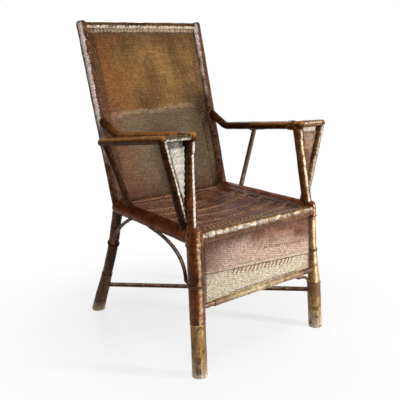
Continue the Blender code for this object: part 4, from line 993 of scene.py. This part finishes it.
# Stitches of the apron: strokes under the seam, dots over it, loops along the roll and down both edges
strokes = {
    "seam": (np.arange(-0.5, 0.68, 0.074), -0.0135, (-0.58, 0, -0.81), 0.026, STROKE_THREAD),
    "dots": (np.arange(-0.92, 0.93, 0.03), 0.011, (1, 0, 0.1), 0.005, THREAD),
    "upper": (np.arange(0.08, 0.93, 0.05), 0.047, (-0.62, 0, -0.78), 0.011, ROSE_THREAD),
}
for name, (across, rise, way, length, thread) in strokes.items():
    along = (high_end[2] - (SEAM_Z - SEAM_SLANT * across + rise)) / (high_end[2] - rail_end[2])
    places, out = spots("apron_weave", (across + 1) / 2, along)
    sew("apron_stitches_" + name, places, out, v3(*way), length, 0.0013, 0.001, thread)
across = np.arange(-0.55, 0.72, 0.034)
places, out = spots("apron_weave", (across + 1) / 2, 0 * across + 0.925)
sew("apron_stitches_roll", places, out, v3(1, 0, 0.45), 0.0075, 0.0011, 0.0011, DARK_THREAD)
for side, tag in SIDES:
    along = np.arange(0.08, 0.9, 0.055)
    places, out = spots("apron_weave", 0 * along + 0.5 + side * 0.485, along)
    sew("apron_stitches_" + tag, places, out, v3(1, 0, 0.3), 0.008, 0.0009, 0.0008, DARK_THREAD)

# Apron rail: wrapped in the middle, bare at the right end, bound at the left end
rail_right, rail_left = side_of(rail_end, -1), rail_end
inset = 0.062
put(sweep("apron_roll_skin", [rail_right + v3(inset, 0, 0), rail_left - v3(inset, 0, 0)],
    lapped(APRON_ROLL, 0.0007, 0.55, 121, 0.0006), APRON_ROLL_SKIN, 0.0012, 32, (0, 0, 1), (0.002, 0.002)),
    "pale_woven_cane")
put(sweep("apron_rail_cane", [rail_right + v3(0.012, 0, 0), rail_left - v3(0.006, 0, 0)],
    bamboo(APRON_RAIL, (0.03, 0.118, 0.21, 0.31, 0.42)), GOLDEN, 0.002, 24, (0, 0, 1)), "rattan_pole",
    "apron_rail")
put(sweep("apron_end_skin", [rail_left - v3(inset + 0.001, 0, 0), rail_left - v3(0.011, 0, 0)],
    taped(APRON_END, 0.0065, 0.0008, 1, 0.15, 131), COPPER, 0.0008, 24, (0, 0, 1), (0.0015, 0)), BROWN,
    "apron_end_wrap")

# Arms: wound poles and bar with a woven web on top, posts with a panel between them, and struts
for side, tag in SIDES:
    front, outer, tip = side_of(ARM_INNER, side), side_of(ARM_OUTER, side), side_of(ARM_TIP, side)
    post = paths["post_" + tag]
    stile = point_at(post, 2, ARM_STILE_Z)
    inner_path = longer(corner(stile, side_of(ARM_BEND, side), front, 0.07), 0, 0.0105)
    outer_path = longer([tip, outer], 0.003, 0.0115)
    put(sweep("arm_inner_skin_" + tag, inner_path, taped(ARM_IN, 0.0125, 0.0006, 1, 0.1, 141 + side,
        0.0006), ARM_SKIN, 0.001, 30, (0, 0, 1), (0, 0.006)), BROWN)
    put(sweep("arm_outer_skin_" + tag, outer_path, taped(ARM_OUT, 0.0125, 0.0008, 1, 0.1, 151 + side,
        0.001), ARM_SKIN, 0.001, 28, (0, 0, 1), (0.005, 0.006)), BROWN)
    put(sweep("arm_bar_skin_" + tag, longer([front, outer], -0.004, -0.004),
        taped(ARM_BAR, 0.0125, 0.0005, 1, 0.1, 161 + side, 0.0004), BAR_SKINS[tag], 0.001, 28, (0, 0, 1)),
        BROWN)
    inner_run = portion(inner_path, 1, front[1], ARM_BEND[1] - 0.03)
    outer_run = portion(outer_path, 1, outer[1], tip[1] - 0.012)
    lengths = distances(inner_run)
    m, n = weave_steps(WEB_WIDTH, lengths[-1])
    t = np.linspace(0, 1, n)
    inside = np.array([np.interp(t, lengths / lengths[-1], inner_run[:, k]) for k in range(3)]).T
    outside = mix(outer_run[0], outer_run[-1], t[:, None])
    w = np.linspace(0, 1, m)[None, :, None]
    base = mix(inside[:, None, :], outside[:, None, :], w)
    dish = 0.0045 - 0.004 * np.sin(np.pi * np.linspace(0, 1, m))[None, :] * np.sin(np.pi * t)[:, None]
    base[:, :, 2] += dish
    put(woven("arm_weave_" + tag, base, np.repeat(np.linspace(0, WEB_WIDTH, m)[None, :], n, 0),
        np.repeat(t[:, None], m, 1) * (n // ROW_STEPS) * WEAVER, WEB_SKIN, None, flip=side < 0), BROWN,
        "arm_cover_" + tag)

    rail = [v3(side * FRONT_X, FRONT_Y, SEAT_Z + SIDE_RISE), v3(side * REAR_X, REAR_Y, REAR_Z + SIDE_RISE)]
    depth = REAR_Y - FRONT_Y
    inner_foot = mix(rail[0], rail[1], 0.015 / depth)
    inner_top = point_at(inner_path[::-1], 1, front[1] + 0.015)
    outer_foot = mix(rail[0], rail[1], 0.038 / depth)
    post_length = np.linalg.norm(inner_top - inner_foot)

    def post_radius(s, ends=INNER_POST[tag], length=post_length):
        return mix(ends[0], ends[1], np.clip(s / length, 0, 1))

    wound = taped(post_radius, 0.0155, 0.0004, side, 0.1, 171 + side, 0.0006)
    if tag == "left":
        wound = lapped(post_radius, 0.0006, 0.95, 171 + side, 0.0008)
    put(sweep("inner_post_skin_" + tag, longer([inner_foot, inner_top], -0.006, -0.003), wound,
        POST_SKINS[tag], 0.0011, 32), BROWN, "arm_inner_post_" + tag)
    put(sweep("outer_post_skin_" + tag, longer([outer_foot, outer], -0.006, -0.003),
        taped(lambda s: post_radius(s, OUTER_POST), 0.0145, 0.0005, -side, 0.1, 181 + side, 0.0009),
        OUTER_SKINS[tag], 0.0011, 28), BROWN, "arm_outer_post_" + tag)
    bend = inner_top - v3(0, 0.007, 0)
    behind = point_at(inner_path[::-1], 1, bend[1] + 0.052)
    below = mix(inner_top, inner_foot, 0.055 / post_length)
    put(sweep("arm_corner_skin_" + tag, corner(behind, bend, below, 0.024),
        taped(ARM_CORNER[tag], 0.0115, 0.0006, side, 0.12, 251 + side, 0.001), POST_SKINS[tag], 0.001, 32,
        (side, 0, 0), (0.012, 0.014)), BROWN)
    low_z, high_z = 0.5, ARM_Z - 0.009
    m, n = weave_steps(PANEL_WIDTH, high_z - low_z)
    t = np.linspace(0, 1, n)[:, None, None]
    w = np.linspace(0, 1, m)[None, :, None]
    a = mix(at_z(inner_foot, inner_top, low_z), at_z(inner_foot, inner_top, high_z), t)
    b = mix(at_z(outer_foot, outer, low_z), at_z(outer_foot, outer, high_z), t)
    base = mix(a, b, w)
    gap = np.linalg.norm(b - a, axis=2)
    rise = t[:, :, 0] * (high_z - low_z)
    drawn = 1 + 0.3 * np.sin(TAU * rise / 0.017)
    # Rims: the sheet sinks into a recess by the posts and under the top, banded with painted shade on the
    # near panel and a pale painted highlight on the far one.
    rims = [
        (w[:, :, 0] * gap - 0.015) / (0.008 * drawn),
        ((1 - w[:, :, 0]) * gap - 0.011) / 0.008,
        (high_z - low_z - rise - 0.013 + 0 * w[:, :, 0]) / 0.009,
    ]
    rim = 1 - smooth(np.minimum(np.minimum(rims[0], rims[1]), rims[2]))
    puff = 0.0035 * (1 - rim) * (0.7 + 0.3 * np.cos(TAU * rise / 0.034))
    pucker = 0.0008 * ripple(w[:, :, 0] * 9 + t[:, :, 0] * 3, t[:, :, 0] * 26, 191 + side)
    put(woven("arm_panel_" + tag, base, np.repeat(np.linspace(0, PANEL_WIDTH, m)[None, :], n, 0),
        np.repeat(t[:, :, 0], m, 1) * (n // ROW_STEPS) * WEAVER, PANEL_SKIN[tag],
        pucker + puff - 0.004 * rim, flip=side < 0, band=rim), BROWN, "arm_front_cover_" + tag)

    strut_foot = mix(rail[1], rail[0], 0.0895 / depth)
    strut_top = mix(tip, outer, (0.077 - 0.0541) / (tip[1] - outer[1]))
    put(sweep("strut_skin_" + tag, longer([strut_foot, strut_top], -0.006, -0.003),
        taped(STRUT[tag], 0.0072, 0.0009, 1, 0.15, 201 + side, 0.0004), STRUT_SKINS[tag], 0.0008, 26),
        BROWN, "strut_wrap_" + tag)

    # Braces bent from the side rail to the legs
    beside = v3(side * math.cos(BRACE_TUCK), 0, -math.sin(BRACE_TUCK)) * (SIDE + 0.0003 + BRACE)
    foot_low, foot_high = side_of(FRONT_FOOT, side), v3(side * FRONT_X, FRONT_Y, SEAT_Z)
    thick = LEG_FORM[tag][1]
    shift = v3(side * 0.6, 0.8, 0) * (thick + BRACE + 0.0008)
    end = at_z(foot_low, foot_high, SEAT_Z - BRACE_DROP) + shift
    knee = at_z(foot_low, foot_high, SEAT_Z - BRACE_DROP * 0.22) + shift
    rest = at_z(foot_low, foot_high, SEAT_Z - BRACE_DROP - 0.012) + 0.6 * shift
    tucked = mix(rail[0], rail[1], 0.206 / depth) + 0.75 * beside
    put(sweep("front_brace_cane_" + tag, np.vstack([arch(tucked, knee, end), rest]),
        bamboo(BRACE, (0.035, 0.105, 0.175), 0.0007, 211), BARE, 0.0016, 20, (side, 0, 0), (0.003, 0.003)),
        "bare_cane", "front_brace_" + tag)

    shift = v3(side * 0.6, -0.8, 0) * (STILE + BRACE + 0.0012)
    end = point_at(post, 2, REAR_Z - BRACE_DROP) + shift
    knee = point_at(post, 2, REAR_Z - BRACE_DROP * 0.56) + shift
    rest = point_at(post, 2, REAR_Z - BRACE_DROP - 0.012) + 0.6 * shift
    tucked = mix(rail[1], rail[0], 0.11 / depth) + 0.75 * beside
    put(sweep("rear_brace_cane_" + tag, np.vstack([arch(tucked, knee, end), rest]),
        bamboo(BRACE, (0.03, 0.09), 0.0007, 221), BARE, 0.0016, 20, (side, 0, 0), (0.003, 0.003)),
        "bare_cane", "rear_brace_" + tag)

    # Cords bound round the legs under the braces
    bound = BRACE_DROP + 0.0126
    up = unit(point_at(post, 2, REAR_Z - 0.123) - point_at(post, 2, REAR_Z - 0.148))
    low = at_z(foot_low, foot_high, SEAT_Z - bound)
    bindings = (
        ("front_cord_", low, unit(foot_high - foot_low), thick + 0.0003),
        ("rear_cord_", point_at(post, 2, REAR_Z - bound), up, STILE + 0.0009),
    )
    for name, centre, up, inside in bindings:
        one = unit(np.cross(up, v3(0, 1, 0)))
        two = np.cross(up, one)
        k = np.linspace(0, 3, 3 * 48 + 1)[:, None]
        ring = one * np.cos(TAU * k) + two * np.sin(TAU * k)
        coil = centre + up * (0.003 * (k - 1.5)) + ring * (inside + 0.0013)
        node = name.replace("cord", "binding") + tag
        put(sweep(name + tag, coil, corded(0.0015, 0.004, 0.0005), BINDING[name + tag], 0.0012, 10, up,
            (0.0015, 0.0015)), "cord", node)

# Stretchers, one over the other, and the bracket under the left end of the apron rail
front_left = at_z(leg_foot, leg_joint, STRETCHER_FRONT_Z)
front_right = side_of(at_z(leg_foot, leg_joint, STRETCHER_FRONT_Z - STRETCHER_STEP), -1)
rear_right = point_at(paths["post_right"], 2, STRETCHER_REAR_Z)
rear_left = point_at(paths["post_left"], 2, STRETCHER_REAR_Z - STRETCHER_STEP)
for name, a, b, joints in (
    ("stretcher_upper", front_left, rear_right, (0.09, 0.26, 0.43, 0.6)),
    ("stretcher_lower", front_right, rear_left, (0.13, 0.31, 0.5, 0.66)),
):
    put(sweep(name + "_cane", longer([a, b], -0.01, -0.01), bamboo(STRETCHER, joints, 0.0008, 231), BARE,
        0.0018, 24, (0, 0, 1)), "bare_cane", name)
leg_at_bracket = LEG_SLIM + (LEG - LEG_SLIM) * (LEG_SLIM_Z - (APRON_Z - 0.044)) / (LEG_SLIM_Z - FOOT_TOP)
inward = -(leg_at_bracket + 0.0003 + 0.005)
end = at_z(leg_foot, leg_joint, APRON_Z - 0.044) + v3(inward, 0, 0)
knee = at_z(leg_foot, leg_joint, APRON_Z) + v3(inward, 0, -(APRON_ROLL + 0.0003 + 0.005))
bow = np.vstack([knee + v3(-0.066, 0, 0.009), arch(knee - v3(0.05, 0, 0), knee, end)])
put(sweep("apron_bracket_cane", bow, bamboo(0.005, (0.03,), 0.0006, 241), BARE, 0.0014, 18, (0, -1, 0),
    (0.003, 0.003)), "bare_cane", "apron_bracket")

# Floor, light and camera
CAMERA = (-1.31, -1.538, 0.912)
TARGET = (0.0174, 0.0192, 0.428)


def light_path(tree):
    """One for rays from the camera, mirror rays and rays through glass."""
    path = tree.add("LightPath")
    seen = tree.sums("MAXIMUM", path.outputs["Is Camera Ray"], path.outputs["Is Glossy Ray"])
    return tree.sums("MAXIMUM", seen, path.outputs["Is Transmission Ray"])


# A sheet of white paper lies under the chair and rises behind it in a curve
view = unit(v3(TARGET[0] - CAMERA[0], TARGET[1] - CAMERA[1], 0))
wide = v3(view[1], -view[0], 0) * 4.0
bend = 1.2
turn = np.linspace(0, np.pi / 2, 13)
curve = [(2.6 + bend * math.sin(t), bend - bend * math.cos(t)) for t in turn]
profile = [(-1.1, 0.0), *curve, (2.6 + bend, 4.0)]
rows = [view * far + v3(0, 0, high) for far, high in profile]
corners = [tuple(row + wide * side) for row in rows for side in (-1, 1)]
faces = [(2 * k, 2 * k + 1, 2 * k + 3, 2 * k + 2) for k in range(len(rows) - 1)]
ground = bpy.data.meshes.new("floor")
ground.from_pydata(corners, [], faces)
ground.polygons.foreach_set("use_smooth", [True] * len(faces))
floor = bpy.data.objects.new("floor", ground)
bpy.context.scene.collection.objects.link(floor)
paper = bpy.data.materials.new("white_paper")
tree = Tree(paper)
shader = tree.feed(tree.nodes["Principled BSDF"], Base_Color=(0.8, 0.8, 0.8, 1), Roughness=0.9,
    Specular_IOR_Level=0.0)
glow = tree.feed(tree.add("Emission"), Color=(1, 1, 1, 1), Strength=1.0)
spot = tree.add("TexCoord").outputs["Object"]
far = tree.feed(tree.add("VectorMath", operation="LENGTH"), Vector=spot).outputs["Value"]
away = tree.span(far, 0.3, 0.9, 0.75, 1.0)
both = tree.add("MixShader")
share = tree.sums("MULTIPLY", light_path(tree), away)
for slot, value in enumerate((share, shader.outputs["BSDF"], glow.outputs["Emission"])):
    tree.join(both.inputs[slot], value)
tree.feed(tree.nodes["Material Output"], Surface=both.outputs["Shader"])
ground.materials.append(paper)

world = bpy.data.worlds.new("studio")
bpy.context.scene.world = world
world.use_nodes = True
back = world.node_tree.nodes["Background"]
back.inputs["Color"].default_value = (1, 1, 1, 1)
back.inputs["Strength"].default_value = 0.1


def aimed(name, data, place, aim):
    """A lamp or a camera at a place, turned to what it looks at."""
    holder = bpy.data.objects.new(name, data)
    holder.location = place
    holder.rotation_mode = "QUATERNION"
    holder.rotation_quaternion = (Vector(aim) - Vector(place)).to_track_quat("-Z", "Y")
    bpy.context.scene.collection.objects.link(holder)
    return holder


def softbox(name, place, aim, width, height, power):
    lamp = bpy.data.lights.new(name, "AREA")
    lamp.shape = "RECTANGLE"
    lamp.size, lamp.size_y, lamp.energy = width, height, power
    aimed(name, lamp, place, aim)


softbox("window_right", (1.4, -2.15, 0.9), (-0.1, -0.2, 0.45), 0.2, 1.5, 76)
softbox("window_left", (-2.5, -0.1, 1.25), (0, 0.1, 0.6), 0.1, 1.2, 8)
softbox("window_rear", (0.9, 2.2, 2.1), (0, 0.1, 0.5), 1.0, 0.8, 26)
softbox("overhead", (-0.5, -0.7, 2.8), (0, 0, 0.4), 1.2, 1.2, 30)

eye = bpy.data.cameras.new("camera")
eye.lens = 54.54
eye.sensor_width = 36.0
bpy.context.scene.camera = aimed("camera", eye, CAMERA, TARGET)

bpy.context.scene.view_settings.view_transform = "Standard"
